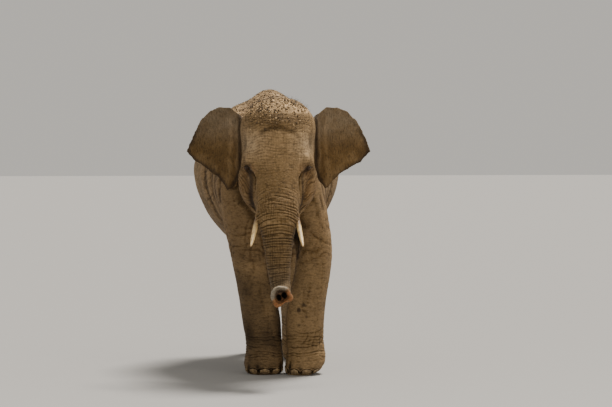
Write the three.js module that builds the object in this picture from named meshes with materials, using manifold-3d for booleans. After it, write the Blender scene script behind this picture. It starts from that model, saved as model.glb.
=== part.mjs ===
// A still, life-size Asian elephant, a young bull with short tusks, walking slowly.
// Millimetres, +Z up. It faces -Y, so its own right side is towards -X.
// Working origin: on the floor, between the forefeet. The finished group is centred on its own box.

import * as THREE from 'three';
import Module from 'manifold-3d';

const wasm = await Module();
wasm.setup();

// ---------------------------------------------------------------- driving dimensions

const GAP = 0.4;                      // clear width of every thin cut and socket
const HEAD_YAW = THREE.MathUtils.degToRad(-4.5);
const HEAD_PIVOT = new THREE.Vector3(25, -400, 0);

const EYE_RADIUS = 19.5;
const EYE_HEIGHT = 1778;
const EYE_OFFSET = 262;               // from the middle of the face
const EYE_PROUD = 5;                  // how far the ball stands out of the flesh round it

const SHEATH_RADIUS = 29;             // of the collar of lip that a tusk comes out of
const SHEATH_FLARE = 1.3;             // how much wider the collar is where it leaves the skull
const NOSTRIL_RADIUS = 15;
const NOSTRIL_TAPER = 0.8;            // inner end of a nostril, as a part of its mouth
const NOSTRIL_SPACING = 40;
const NOSTRIL_DEPTH = 75;
const NOSTRIL_LIFT = 4;               // above the middle of the trunk's end

const NAIL_THICKNESS = 8;
const NAIL_BASE = 8;                  // lowest point of a nail above the floor
const NAIL_POST = 450;                // length of the post that a nail's outline is cut with
const NAIL_NARROWING = 0.76;          // a nail narrows with the cosine of this part of its angle
const FORE_NAIL_ANGLES = [-70, -35, 0, 35, 70];
const HIND_NAIL_ANGLES = [-54, -18, 18, 54];
const FORE_NAIL_SIZE = { width: 90, height: 48 };
const HIND_NAIL_SIZE = { width: 74, height: 44 };

const TORSO_SIDES = 20;
const FACE_SIDES = 20;
const JAW_SIDES = 16;
const TRUNK_SIDES = 14;
const LEG_SIDES = 14;
const TAIL_SIDES = 8;
const TUSK_SIDES = 8;
const NAIL_SIDES = 6;
const EYE_SIDES = 8;
const NOSTRIL_SIDES = 8;

const LEG_FRONT_POWER = 2.1;          // a leg is slightly squared in front and oval behind
const LEG_BACK_POWER = 2;
const BEYOND = 9000;                  // longer than the whole animal

// The torso from the nape to the rump: upright sections, from the belly line to the back line.
// x is the middle, half the half width, girth the height of the widest place.
const TORSO = [
  { y: -480, x: 0, top: 2150, bottom: 1480, half: 240, girth: 1810, above: 2.0, below: 2.0 },
  { y: -240, x: 0, top: 2165, bottom: 1310, half: 288, girth: 1745, above: 1.9, below: 2.0 },
  { y: 0, x: 0, top: 2205, bottom: 1165, half: 405, girth: 1710, above: 1.8, below: 1.9 },
  { y: 270, x: 0, top: 2300, bottom: 1065, half: 530, girth: 1715, above: 1.65, below: 1.85 },
  { y: 560, x: 0, top: 2400, bottom: 1000, half: 622, girth: 1735, above: 1.52, below: 1.8 },
  { y: 850, x: 4, top: 2452, bottom: 970, half: 655, girth: 1745, above: 1.48, below: 1.76 },
  { y: 1120, x: 20, top: 2418, bottom: 1000, half: 610, girth: 1735, above: 1.55, below: 1.82 },
  { y: 1370, x: 45, top: 2285, bottom: 1095, half: 495, girth: 1710, above: 1.7, below: 1.9 },
  { y: 1570, x: 62, top: 2085, bottom: 1250, half: 365, girth: 1660, above: 1.9, below: 2.0 },
  { y: 1712, x: 70, top: 1872, bottom: 1415, half: 212, girth: 1630, above: 2.0, below: 2.0 },
  { y: 1748, x: 72, top: 1765, bottom: 1510, half: 95, girth: 1635, above: 2.0, below: 2.0 },
];

// The face and trunk: sections across a line that runs down from the crown and out to the trunk's tip.
// lean is the line's direction, 0 straight down and 90 straight ahead; roll turns the section.
const FACE = [
  { y: -470, z: 2350, lean: 0, roll: 0, x: 0, half: 50, ahead: 48, behind: 48, bluff: 2, nape: 2 },
  { y: -464, z: 2334, lean: 0, roll: 0, x: 0, half: 130, ahead: 122, behind: 105, bluff: 2, nape: 2 },
  { y: -458, z: 2288, lean: 0, roll: 0, x: 0, half: 216, ahead: 205, behind: 160, bluff: 2.1, nape: 2 },
  { y: -452, z: 2215, lean: 0, roll: 0, x: 0, half: 290, ahead: 272, behind: 205, bluff: 2.2, nape: 2 },
  { y: -450, z: 2100, lean: 0, roll: 0, x: 0, half: 320, ahead: 330, behind: 225, bluff: 2.2, nape: 2 },
  { y: -465, z: 1960, lean: 2, roll: 0, x: 0, half: 310, ahead: 338, behind: 225, bluff: 2.2, nape: 2 },
  { y: -520, z: 1815, lean: 6, roll: 0, x: 0, half: 302, ahead: 308, behind: 220, bluff: 2.1, nape: 2 },
  { y: -605, z: 1690, lean: 11, roll: 0, x: 0, half: 258, ahead: 270, behind: 190, bluff: 2.2, nape: 2 },
  { y: -700, z: 1570, lean: 15, roll: 0, x: 0, half: 214, ahead: 224, behind: 165, bluff: 2.3, nape: 2 },
  { y: -790, z: 1450, lean: 16, roll: 0, x: 0, half: 190, ahead: 184, behind: 145, bluff: 2.3, nape: 2.2 },
  { y: -868, z: 1345, lean: 14, roll: 0, x: 2, half: 170, ahead: 152, behind: 128, bluff: 2.2, nape: 2.2 },
  { y: -895, z: 1288, lean: 13, roll: 0, x: 3, half: 151, ahead: 139, behind: 119, bluff: 2.1, nape: 2.2 },
];

// Hollows and swellings of the skull, each pushed most at its middle and mirrored to both sides.
const FACE_FORMS = [
  { name: 'temple hollow', at: [300, -560, 1965], reach: 95, push: [-24, 6, 0] },
  { name: 'brow', at: [262, -690, 1852], reach: 60, push: [8, -12, 0] },
  { name: 'crown dome', at: [115, -560, 2310], reach: 105, push: [8, -6, 12] },
  { name: 'crown cleft', at: [0, -620, 2300], reach: 62, push: [0, 10, -13] },
  { name: 'nose root', at: [0, -830, 1895], reach: 110, push: [0, 20, 0] },
  { name: 'tusk swelling', at: [95, -985, 1480], reach: 95, push: [4, -12, 0] },
  { name: 'cheekbone', at: [330, -560, 1745], reach: 80, push: [7, -4, 0] },
];

// The trunk carries the same line on to its tip.
const TRUNK = [
  { y: -895, z: 1288, lean: 13, roll: 0, x: 3, half: 151, ahead: 139, behind: 119, bluff: 2.1, nape: 2.2 },
  { y: -926, z: 1205, lean: 10, roll: 0, x: 5, half: 130, ahead: 124, behind: 110, bluff: 2, nape: 2.3 },
  { y: -948, z: 1110, lean: 7, roll: 0, x: 8, half: 115, ahead: 110, behind: 98, bluff: 2, nape: 2.4 },
  { y: -962, z: 990, lean: 3, roll: 0, x: 12, half: 100, ahead: 96, behind: 86, bluff: 2, nape: 2.5 },
  { y: -966, z: 905, lean: 6, roll: 4, x: 18, half: 90, ahead: 86, behind: 78, bluff: 2, nape: 2.5 },
  { y: -982, z: 836, lean: 30, roll: 10, x: 24, half: 85, ahead: 76, behind: 74, bluff: 2, nape: 2.5 },
  { y: -1030, z: 783, lean: 62, roll: 17, x: 29, half: 83, ahead: 72, behind: 72, bluff: 2, nape: 2.6 },
  { y: -1100, z: 763, lean: 82, roll: 22, x: 32, half: 82, ahead: 71, behind: 72, bluff: 2, nape: 2.8 },
  { y: -1172, z: 760, lean: 90, roll: 25, x: 33, half: 86, ahead: 76, behind: 76, bluff: 2, nape: 3 },
  { y: -1212, z: 760, lean: 90, roll: 26, x: 33, half: 88, ahead: 80, behind: 78, bluff: 2, nape: 3.2 },
];
const TRUNK_CUTS = [0, 2, 4, 6, 8, 9];  // rows of TRUNK where one length ends and the next begins
const TRUNK_IN_HEAD = 5;                // rows of TRUNK that run close to the head

// The cheeks and lower jaw: sections across a line from the temples down to the pointed lower lip.
const JAW = [
  { y: -500, z: 1900, lean: 4, roll: 0, x: 0, half: 190, ahead: 120, behind: 110, bluff: 2, nape: 2 },
  { y: -505, z: 1830, lean: 8, roll: 0, x: 0, half: 286, ahead: 175, behind: 170, bluff: 2, nape: 2 },
  { y: -512, z: 1720, lean: 12, roll: 0, x: 0, half: 333, ahead: 205, behind: 200, bluff: 2, nape: 2 },
  { y: -535, z: 1590, lean: 20, roll: 0, x: 0, half: 328, ahead: 190, behind: 185, bluff: 2.2, nape: 2.2 },
  { y: -575, z: 1495, lean: 30, roll: 0, x: 0, half: 282, ahead: 168, behind: 135, bluff: 2.2, nape: 2.2 },
  { y: -632, z: 1420, lean: 38, roll: 0, x: 2, half: 208, ahead: 140, behind: 95, bluff: 2.2, nape: 2 },
  { y: -705, z: 1325, lean: 38, roll: 0, x: 12, half: 135, ahead: 105, behind: 68, bluff: 2, nape: 2 },
  { y: -770, z: 1230, lean: 34, roll: 0, x: 26, half: 100, ahead: 62, behind: 52, bluff: 2, nape: 2 },
  { y: -808, z: 1150, lean: 22, roll: 0, x: 40, half: 80, ahead: 40, behind: 40, bluff: 2, nape: 2 },
  { y: -826, z: 1090, lean: 12, roll: 0, x: 46, half: 54, ahead: 28, behind: 28, bluff: 2, nape: 2 },
  { y: -830, z: 1062, lean: 8, roll: 0, x: 48, half: 24, ahead: 14, behind: 14, bluff: 2, nape: 2 },
];

// Fore and hind legs: level sections from the sole to where the muscle lies on the ribs or pelvis.
const FORE_LEG = [
  { z: 0, half: 138, length: 146 },
  { z: 30, half: 160, length: 174 },
  { z: 90, half: 171, length: 187 },
  { z: 170, half: 163, length: 174 },
  { z: 270, half: 151, length: 155 },
  { z: 450, half: 157, length: 165 },
  { z: 640, half: 148, length: 167 },
  { z: 820, half: 146, length: 182 },
  { z: 1010, half: 153, length: 212 },
  { z: 1190, half: 168, length: 248 },
  { z: 1390, half: 178, length: 290 },
  { z: 1620, half: 165, length: 300 },
  { z: 1840, half: 118, length: 275 },
  { z: 1980, half: 52, length: 180 },
];
const HIND_LEG = [
  { z: 0, half: 116, length: 136 },
  { z: 30, half: 134, length: 162 },
  { z: 90, half: 144, length: 173 },
  { z: 170, half: 137, length: 160 },
  { z: 270, half: 124, length: 141 },
  { z: 420, half: 123, length: 144 },
  { z: 600, half: 129, length: 160 },
  { z: 800, half: 145, length: 200 },
  { z: 1010, half: 172, length: 258 },
  { z: 1240, half: 204, length: 320 },
  { z: 1490, half: 222, length: 348 },
  { z: 1730, half: 180, length: 310 },
  { z: 1900, half: 105, length: 215 },
];

// Each leg's line, one entry for each row above: the middle of the section. The left forefoot is
// rolling off the floor, so full narrows its sole and widens its ankle.
const RIGHT_FORE_LINE = {
  x: [-69, -69, -72, -66, -69, -95, -130, -164, -196, -222, -256, -322, -335, -285],
  y: [8, 8, 8, 14, 26, 16, 22, 36, 48, 40, 22, 50, 95, 115],
};
const LEFT_FORE_LINE = {
  x: [228, 250, 280, 290, 280, 281, 309, 346, 366, 341, 292, 285, 295, 265],
  y: [-62, -62, -62, -56, -46, -60, -44, -8, 30, 36, 22, 50, 95, 115],
  full: [0.8, 0.9, 1, 1.04, 1.04, 1, 1, 1, 1, 1, 1, 1, 1, 1],
};
const RIGHT_HIND_LINE = {
  x: [20, 20, 20, 16, 7, -9, -32, -64, -102, -148, -190, -200, -190],
  y: [1612, 1612, 1614, 1622, 1634, 1624, 1568, 1490, 1428, 1400, 1408, 1425, 1435],
};
const LEFT_HIND_LINE = {
  x: [300, 300, 300, 298, 291, 283, 277, 270, 272, 282, 300, 300, 290],
  y: [1142, 1142, 1144, 1152, 1168, 1176, 1164, 1164, 1208, 1296, 1365, 1415, 1435],
};
const FORE_CUTS = { middle: 985, ankle: 235 };   // elbow and wrist
const HIND_CUTS = { middle: 900, ankle: 235 };   // knee and heel
const FOOT_ROWS = 5;                             // rows from the sole to above the nails

// The ear: its fixed edge along the head, and the round of its free edge, from the top to the lobe.
const EAR_ROOT_TOP = { x: 285, z: 2185 };
const EAR_ROOT_FOOT = { x: 300, z: 1730 };
const EAR_CLEARANCE = 1.6;             // room left round the ear's root in its socket
const EAR_ROOT_Y = -372;
const EAR_SWEEP = 0.6;                // how fast the ear runs backwards as it runs outwards
const EAR_EDGE = [
  [315, 2210], [400, 2278], [505, 2270], [602, 2218], [682, 2108], [735, 1995],
  [766, 1908], [690, 1815], [585, 1755], [500, 1702], [455, 1635], [415, 1584],
  [372, 1640], [330, 1722],
];
const EAR_COLUMNS = 15;
const EAR_ROWS = [0, 0.33, 0.66, 0.92, 1];
const EAR_THICKNESS = [36, 20, 15, 12, 8];
const EAR_CUP = 26;                   // hollow of the ear between its root and its rim
const EAR_TWIST = 30;                 // how far the rim swings back above and forward lower down
const EAR_TWIST_TURN = 1.6 * Math.PI;

// The tusk: round sections from inside its sheath to the point.
const TUSK = [
  { x: 152, y: -868, z: 1400, r: 21 },
  { x: 170, y: -912, z: 1338, r: 22 },
  { x: 184, y: -972, z: 1272, r: 21 },
  { x: 198, y: -1042, z: 1209, r: 18 },
  { x: 208, y: -1104, z: 1166, r: 12 },
  { x: 212, y: -1128, z: 1152, r: 5 },
];

// The tail hangs from the rump; its tuft is a flat brush.
const TAIL = [
  { x: 72, y: 1640, z: 1900, half: 62, deep: 62 },
  { x: 72, y: 1725, z: 1840, half: 52, deep: 50 },
  { x: 74, y: 1786, z: 1735, half: 42, deep: 40 },
  { x: 78, y: 1812, z: 1570, half: 33, deep: 32 },
  { x: 84, y: 1812, z: 1370, half: 26, deep: 25 },
  { x: 92, y: 1800, z: 1170, half: 20, deep: 19 },
  { x: 100, y: 1788, z: 1000, half: 15, deep: 15 },
  { x: 104, y: 1782, z: 900, half: 13, deep: 15 },
];
const TAIL_CUTS = [0, 4, 7];
const TUFT = [
  { x: 104, y: 1782, z: 899, half: 14, deep: 17 },
  { x: 106, y: 1780, z: 830, half: 22, deep: 42 },
  { x: 108, y: 1778, z: 740, half: 26, deep: 52 },
  { x: 108, y: 1776, z: 660, half: 20, deep: 36 },
  { x: 108, y: 1775, z: 600, half: 7, deep: 10 },
];

// ---------------------------------------------------------------- finishes

const HIDE = new THREE.Color(0x6b5a45);
const HIDE_DARK = new THREE.Color(0x54452f);
const NAIL_COLOUR = new THREE.Color(0xa08a60);
const IVORY = new THREE.Color(0xe6d6ae);
const EYE_COLOUR = new THREE.Color(0x24160c);
const HAIR_COLOUR = new THREE.Color(0x1f1a16);
const HIDE_ROUGHNESS = 0.9;
const NAIL_ROUGHNESS = 0.6;
const IVORY_ROUGHNESS = 0.45;
const EYE_ROUGHNESS = 0.15;

const model = new THREE.Group();

function addNode(name, solid, colour, roughness = HIDE_ROUGHNESS) {
  const material = new THREE.MeshStandardMaterial({ color: colour, roughness, metalness: 0 });
  const node = new THREE.Mesh(geometryOf(solid), material);
  node.name = name;
  model.add(node);
}

// ---------------------------------------------------------------- curves, rings and lofts

function catmullRom(before, from, to, after, t) {
  const slopeFrom = (to - before) / 2;
  const slopeTo = (after - from) / 2;
  const t2 = t * t;
  const t3 = t2 * t;
  return (2 * t3 - 3 * t2 + 1) * from + (t3 - 2 * t2 + t) * slopeFrom
    + (3 * t2 - 2 * t3) * to + (t3 - t2) * slopeTo;
}

// The rows given, with smooth rows added between them.
function smoothRows(rows, steps) {
  const result = [];
  for (let i = 0; i < rows.length - 1; i += 1) {
    const before = rows[Math.max(i - 1, 0)];
    const after = rows[Math.min(i + 2, rows.length - 1)];
    for (let step = 0; step < steps; step += 1) {
      const row = {};
      for (const key of Object.keys(rows[0])) {
        row[key] = catmullRom(before[key], rows[i][key], rows[i + 1][key], after[key], step / steps);
      }
      result.push(row);
    }
  }
  result.push({ ...rows[rows.length - 1] });
  return result;
}

// One rounded section. Above 2 an exponent squares the section off, below 2 it makes a ridge.
function sectionRing(centre, side, front, size, count) {
  const ring = [];
  for (let i = 0; i < count; i += 1) {
    const angle = (2 * Math.PI * i) / count;
    const across = Math.cos(angle);
    const along = Math.sin(angle);
    const power = 2 / (along >= 0 ? size.frontPower : size.backPower);
    const depth = along >= 0 ? size.front : size.back;
    const point = centre.clone();
    point.addScaledVector(side, size.half * Math.sign(across) * Math.abs(across) ** power);
    point.addScaledVector(front, depth * Math.sign(along) * Math.abs(along) ** power);
    ring.push(point);
  }
  return ring;
}

function centreOf(points) {
  const sum = new THREE.Vector3();
  points.forEach((point) => sum.add(point));
  return sum.divideScalar(points.length);
}

// A closed mesh from rings of equal count, with a fan over each end.
function loft(rings) {
  const count = rings[0].length;
  const points = rings.flat();
  const first = points.push(centreOf(rings[0])) - 1;
  const last = points.push(centreOf(rings[rings.length - 1])) - 1;
  const lastRing = (rings.length - 1) * count;
  const triangles = [];
  for (let j = 0; j < count; j += 1) {
    const next = (j + 1) % count;
    triangles.push([first, next, j]);
    triangles.push([last, lastRing + j, lastRing + next]);
    for (let i = 0; i < rings.length - 1; i += 1) {
      triangles.push(...quad(points, i * count + j, i * count + next,
        (i + 1) * count + next, (i + 1) * count + j));
    }
  }
  return solidOf(points, triangles);
}

// Two triangles over four corners, split along the shorter diagonal.
function quad(points, a, b, c, d) {
  if (points[a].distanceToSquared(points[c]) <= points[b].distanceToSquared(points[d])) {
    return [[a, b, c], [a, c, d]];
  }
  return [[a, b, d], [b, c, d]];
}

// A closed mesh between two grids of points of the same size. Every patch is split the same way,
// so that a thicker plate encloses a thinner one.
function plate(frontGrid, backGrid) {
  const rows = frontGrid.length;
  const columns = frontGrid[0].length;
  const front = (r, c) => r * columns + c;
  const back = (r, c) => rows * columns + front(r, c);
  const triangles = [];
  const patch = (a, b, c, d) => triangles.push([a, b, c], [a, c, d]);
  for (let r = 0; r < rows - 1; r += 1) {
    for (let c = 0; c < columns - 1; c += 1) {
      patch(front(r, c), front(r, c + 1), front(r + 1, c + 1), front(r + 1, c));
      patch(back(r, c), back(r + 1, c), back(r + 1, c + 1), back(r, c + 1));
    }
    const end = columns - 1;
    patch(front(r, 0), front(r + 1, 0), back(r + 1, 0), back(r, 0));
    patch(front(r + 1, end), front(r, end), back(r, end), back(r + 1, end));
  }
  for (let c = 0; c < columns - 1; c += 1) {
    const end = rows - 1;
    patch(front(0, c + 1), front(0, c), back(0, c), back(0, c + 1));
    patch(front(end, c), front(end, c + 1), back(end, c + 1), back(end, c));
  }
  return solidOf([...frontGrid.flat(), ...backGrid.flat()], triangles);
}

// ---------------------------------------------------------------- solids

function makeManifold(coordinates, corners) {
  const mesh = new wasm.Mesh({
    numProp: 3,
    vertProperties: new Float32Array(coordinates),
    triVerts: new Uint32Array(corners),
  });
  return new wasm.Manifold(mesh);
}

function solidOf(points, triangles) {
  const coordinates = points.flatMap((point) => [point.x, point.y, point.z]);
  const solid = makeManifold(coordinates, triangles.flat());
  if (solid.volume() > 0) {
    return solid;
  }
  return makeManifold(coordinates, triangles.flatMap(([a, b, c]) => [a, c, b]));
}

function geometryOf(solid) {
  const mesh = solid.getMesh();
  const geometry = new THREE.BufferGeometry();
  geometry.setAttribute('position', new THREE.Float32BufferAttribute(mesh.vertProperties, 3));
  geometry.setIndex(new THREE.Uint32BufferAttribute(mesh.triVerts, 1));
  geometry.computeVertexNormals();
  return geometry;
}

// A three.js shape whose equal points are merged, as a solid.
function solidFromGeometry(geometry) {
  const position = geometry.getAttribute('position');
  const corners = geometry.getIndex()
    ? Array.from(geometry.getIndex().array)
    : Array.from({ length: position.count }, (unused, i) => i);
  const points = [];
  const places = new Map();
  const merged = [];
  for (let i = 0; i < position.count; i += 1) {
    const point = new THREE.Vector3().fromBufferAttribute(position, i);
    const key = point.toArray().map((value) => Math.round(value * 1000)).join();
    if (!places.has(key)) {
      places.set(key, points.push(point) - 1);
    }
    merged.push(places.get(key));
  }
  const triangles = [];
  for (let i = 0; i < corners.length; i += 3) {
    const triangle = [merged[corners[i]], merged[corners[i + 1]], merged[corners[i + 2]]];
    if (new Set(triangle).size === 3) {
      triangles.push(triangle);
    }
  }
  return solidOf(points, triangles);
}

function union(solids) {
  return solids.reduce((whole, solid) => whole.add(solid));
}

// The largest body of a solid, without slivers that a cut has left loose.
function mainBody(solid) {
  return solid.decompose().reduce((best, body) => (body.volume() > best.volume() ? body : best));
}

function planeThrough(point, normal) {
  const unit = new THREE.Vector3(...normal).normalize();
  return { normal: unit.toArray(), offset: unit.dot(new THREE.Vector3(...point)) };
}

function keepSide(solid, plane, shift) {
  return solid.trimByPlane(plane.normal, plane.offset + shift);
}

// The piece of a body on the inner side of all the planes, and the rest of it, a thin cut apart.
function carve(body, planes) {
  const everything = solidFromGeometry(new THREE.BoxGeometry(BEYOND, BEYOND, BEYOND));
  const piece = planes.reduce((solid, plane) => keepSide(solid, plane, GAP / 2), body);
  const wedge = planes.reduce((solid, plane) => keepSide(solid, plane, -GAP / 2), everything);
  return [mainBody(piece), mainBody(body.subtract(wedge))];
}

// ---------------------------------------------------------------- flesh

const turnHead = new THREE.Matrix4()
  .makeTranslation(HEAD_PIVOT.x, HEAD_PIVOT.y, 0)
  .multiply(new THREE.Matrix4().makeRotationZ(HEAD_YAW))
  .multiply(new THREE.Matrix4().makeTranslation(0, -HEAD_PIVOT.y, 0));

function torsoRings() {
  return smoothRows(TORSO, 2).map((row) => sectionRing(
    new THREE.Vector3(row.x, row.y, row.girth),
    new THREE.Vector3(1, 0, 0),
    new THREE.Vector3(0, 0, 1),
    {
      half: row.half,
      front: row.top - row.girth,
      back: row.girth - row.bottom,
      frontPower: row.above,
      backPower: row.below,
    },
    TORSO_SIDES,
  ));
}

// Rings of the face, trunk or jaw, turned with the head.
function headRings(rows, count, grow = 0) {
  return rows.map((row) => {
    const lean = THREE.MathUtils.degToRad(row.lean);
    const roll = THREE.MathUtils.degToRad(row.roll);
    const line = new THREE.Vector3(0, -Math.sin(lean), -Math.cos(lean));
    const front = new THREE.Vector3(0, -Math.cos(lean), Math.sin(lean)).applyAxisAngle(line, roll);
    const side = new THREE.Vector3(1, 0, 0).applyAxisAngle(line, roll);
    const size = {
      half: row.half + grow,
      front: row.ahead + grow,
      back: row.behind + grow,
      frontPower: row.bluff,
      backPower: row.nape,
    };
    const ring = sectionRing(new THREE.Vector3(row.x, row.y, row.z), side, front, size, count);
    return ring.map((point) => shapeFace(point).applyMatrix4(turnHead));
  });
}

// A row moved a little way along its own line, which leaves a thin cut behind it.
function pushedOn(row, distance) {
  const lean = THREE.MathUtils.degToRad(row.lean);
  return { ...row, y: row.y - distance * Math.sin(lean), z: row.z - distance * Math.cos(lean) };
}

// Moves a point of the face by every form that reaches it.
function shapeFace(point) {
  const shaped = point.clone();
  for (const form of FACE_FORMS) {
    for (const side of form.at[0] === 0 ? [1] : [-1, 1]) {
      const middle = new THREE.Vector3(form.at[0] * side, form.at[1], form.at[2]);
      const weight = Math.exp(-point.distanceToSquared(middle) / form.reach ** 2);
      const push = new THREE.Vector3(form.push[0] * side, form.push[1], form.push[2]);
      shaped.addScaledVector(push, weight);
    }
  }
  return shaped;
}

function legRings(sizes, line, grow = 0) {
  const rows = sizes.map((size, i) => ({
    x: line.x[i],
    y: line.y[i],
    z: size.z,
    half: size.half * (line.full ? line.full[i] : 1),
    length: size.length,
  }));
  return rows.map((row) => sectionRing(
    new THREE.Vector3(row.x, row.y, row.z),
    new THREE.Vector3(1, 0, 0),
    new THREE.Vector3(0, -1, 0),
    {
      half: row.half + grow,
      front: row.length + grow,
      back: row.length + grow,
      frontPower: LEG_FRONT_POWER,
      backPower: LEG_BACK_POWER,
    },
    LEG_SIDES,
  ));
}

// A round or oval tube along a line of rows with x, y, z and its half sizes. A grown tube is
// longer at both ends too.
function tubeRings(rows, sides, grow = 0) {
  return rows.map((row, i) => {
    const from = rows[Math.max(i - 1, 0)];
    const to = rows[Math.min(i + 1, rows.length - 1)];
    const line = new THREE.Vector3(to.x - from.x, to.y - from.y, to.z - from.z).normalize();
    const side = new THREE.Vector3(1, 0, 0).addScaledVector(line, -line.x).normalize();
    const front = new THREE.Vector3().crossVectors(line, side);
    const size = {
      half: (row.half ?? row.r) + grow,
      front: (row.deep ?? row.r) + grow,
      back: (row.deep ?? row.r) + grow,
      frontPower: 2,
      backPower: 2,
    };
    const centre = new THREE.Vector3(row.x, row.y, row.z);
    if (i === 0) {
      centre.addScaledVector(line, -grow);
    }
    if (i === rows.length - 1) {
      centre.addScaledVector(line, grow);
    }
    return sectionRing(centre, side, front, size, sides);
  });
}

// ---------------------------------------------------------------- ears, eyes, tusks, nails

function earSolid(side, grow = 0) {
  const edgePoints = EAR_EDGE.map(([x, z]) => new THREE.Vector3(x, 0, z));
  edgePoints[0].z += grow;
  edgePoints[edgePoints.length - 1].z -= grow;
  const edge = new THREE.CatmullRomCurve3(edgePoints);
  const outward = Math.hypot(1, EAR_SWEEP);
  const normal = new THREE.Vector3(EAR_SWEEP / outward, -1 / outward, 0);
  const frontGrid = [];
  const backGrid = [];
  EAR_ROWS.forEach((reach, r) => {
    const frontRow = [];
    const backRow = [];
    for (let c = 0; c <= EAR_COLUMNS; c += 1) {
      const along = c / EAR_COLUMNS;
      const rim = edge.getPoint(along);
      const root = new THREE.Vector3(
        THREE.MathUtils.lerp(EAR_ROOT_TOP.x, EAR_ROOT_FOOT.x, along) - grow,
        0,
        THREE.MathUtils.lerp(EAR_ROOT_TOP.z + grow, EAR_ROOT_FOOT.z - grow, along),
      );
      const middle = root.lerp(rim, reach);
      const spread = middle.x - EAR_ROOT_TOP.x;
      const cup = EAR_CUP * Math.sin(Math.PI * reach);
      const twist = EAR_TWIST * reach * Math.cos(EAR_TWIST_TURN * along);
      middle.y = EAR_ROOT_Y + EAR_SWEEP * spread + cup + twist;
      const half = EAR_THICKNESS[r] / 2 + 2 * grow;
      for (const [grid, shift] of [[frontRow, half], [backRow, -half]]) {
        const point = middle.clone().addScaledVector(normal, shift);
        point.x *= side;
        grid.push(point.applyMatrix4(turnHead));
      }
    }
    frontGrid.push(frontRow);
    backGrid.push(backRow);
  });
  return plate(frontGrid, backGrid);
}

// The place where a level line from straight ahead meets the flesh of the head.
function facePoint(headFlesh, x, z) {
  const mesh = new THREE.Mesh(geometryOf(headFlesh));
  mesh.material.side = THREE.DoubleSide;
  const start = new THREE.Vector3(x, -BEYOND, z).applyMatrix4(turnHead);
  const ahead = new THREE.Vector3(0, 1, 0).transformDirection(turnHead);
  const hit = new THREE.Raycaster(start, ahead).intersectObject(mesh)[0];
  return { point: hit.point, normal: hit.face.normal };
}

function eyeCentre(headFlesh, side) {
  const { point, normal } = facePoint(headFlesh, side * EYE_OFFSET, EYE_HEIGHT);
  return point.addScaledVector(normal, EYE_PROUD - EYE_RADIUS);
}

function ball(centre, radius) {
  const geometry = new THREE.SphereGeometry(radius, EYE_SIDES, EYE_SIDES - 2);
  geometry.translate(centre.x, centre.y, centre.z);
  return solidFromGeometry(geometry);
}

function tuskSolid(side, grow = 0) {
  const rows = TUSK.map((row) => ({ ...row, x: row.x * side }));
  const rings = tubeRings(rows, TUSK_SIDES, grow);
  return loft(rings.map((ring) => ring.map((point) => point.applyMatrix4(turnHead))));
}

// The collar of lip that the tusk comes out of.
function tuskSheath(side) {
  const rows = [{ ...TUSK[0], r: SHEATH_RADIUS * SHEATH_FLARE }, { ...TUSK[1], r: SHEATH_RADIUS }]
    .map((row) => ({ ...row, x: row.x * side }));
  const rings = tubeRings(rows, TUSK_SIDES);
  return loft(rings.map((ring) => ring.map((point) => point.applyMatrix4(turnHead))));
}

function nostril(side) {
  const tip = TRUNK[TRUNK.length - 1];
  const geometry = new THREE.CylinderGeometry(
    NOSTRIL_RADIUS,
    NOSTRIL_RADIUS * NOSTRIL_TAPER,
    NOSTRIL_DEPTH * 2,
    NOSTRIL_SIDES,
  );
  geometry.rotateX(Math.PI);
  geometry.translate((side * NOSTRIL_SPACING) / 2, 0, 0);
  geometry.rotateY(THREE.MathUtils.degToRad(-tip.roll));
  geometry.translate(tip.x, tip.y, tip.z + NOSTRIL_LIFT);
  geometry.applyMatrix4(turnHead);
  return solidFromGeometry(geometry);
}

// A nail is the part of a slightly larger foot that lies inside an oval post, which runs forward
// from the middle of the foot.
function nailSolid(sizes, line, degrees, nail) {
  const angle = THREE.MathUtils.degToRad(degrees);
  const shell = loft(legRings(sizes.slice(0, FOOT_ROWS), line, NAIL_THICKNESS))
    .subtract(loft(legRings(sizes.slice(0, FOOT_ROWS + 1), line, GAP)));
  const shrink = Math.cos(angle * NAIL_NARROWING);
  const post = new THREE.CylinderGeometry(1, 1, NAIL_POST, NAIL_SIDES);
  post.scale((nail.width / 2) * shrink, 1, nail.height / 2);
  post.translate(0, -NAIL_POST / 2, NAIL_BASE + nail.height / 2);
  post.rotateZ(angle);
  post.translate(line.x[2], line.y[2], 0);
  return mainBody(shell.intersect(solidFromGeometry(post)));
}

// ---------------------------------------------------------------- the whole animal, parted

const forelegs = { sizes: FORE_LEG, cuts: FORE_CUTS, nails: FORE_NAIL_ANGLES, nail: FORE_NAIL_SIZE };
const hindLegs = { sizes: HIND_LEG, cuts: HIND_CUTS, nails: HIND_NAIL_ANGLES, nail: HIND_NAIL_SIZE };
const legs = [
  { name: 'fore_right', line: RIGHT_FORE_LINE, ...forelegs },
  { name: 'fore_left', line: LEFT_FORE_LINE, ...forelegs },
  { name: 'hind_right', line: RIGHT_HIND_LINE, ...hindLegs },
  { name: 'hind_left', line: LEFT_HIND_LINE, ...hindLegs },
];

const headFlesh = union([
  loft(headRings(smoothRows(FACE, 2), FACE_SIDES)),
  loft(headRings(JAW, JAW_SIDES)),
  tuskSheath(-1),
  tuskSheath(1),
]);
const tailRings = tubeRings(TAIL, TAIL_SIDES);
const body = union([
  loft(torsoRings()),
  headFlesh,
  ...legs.map((leg) => loft(legRings(leg.sizes, leg.line))),
]);

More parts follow.
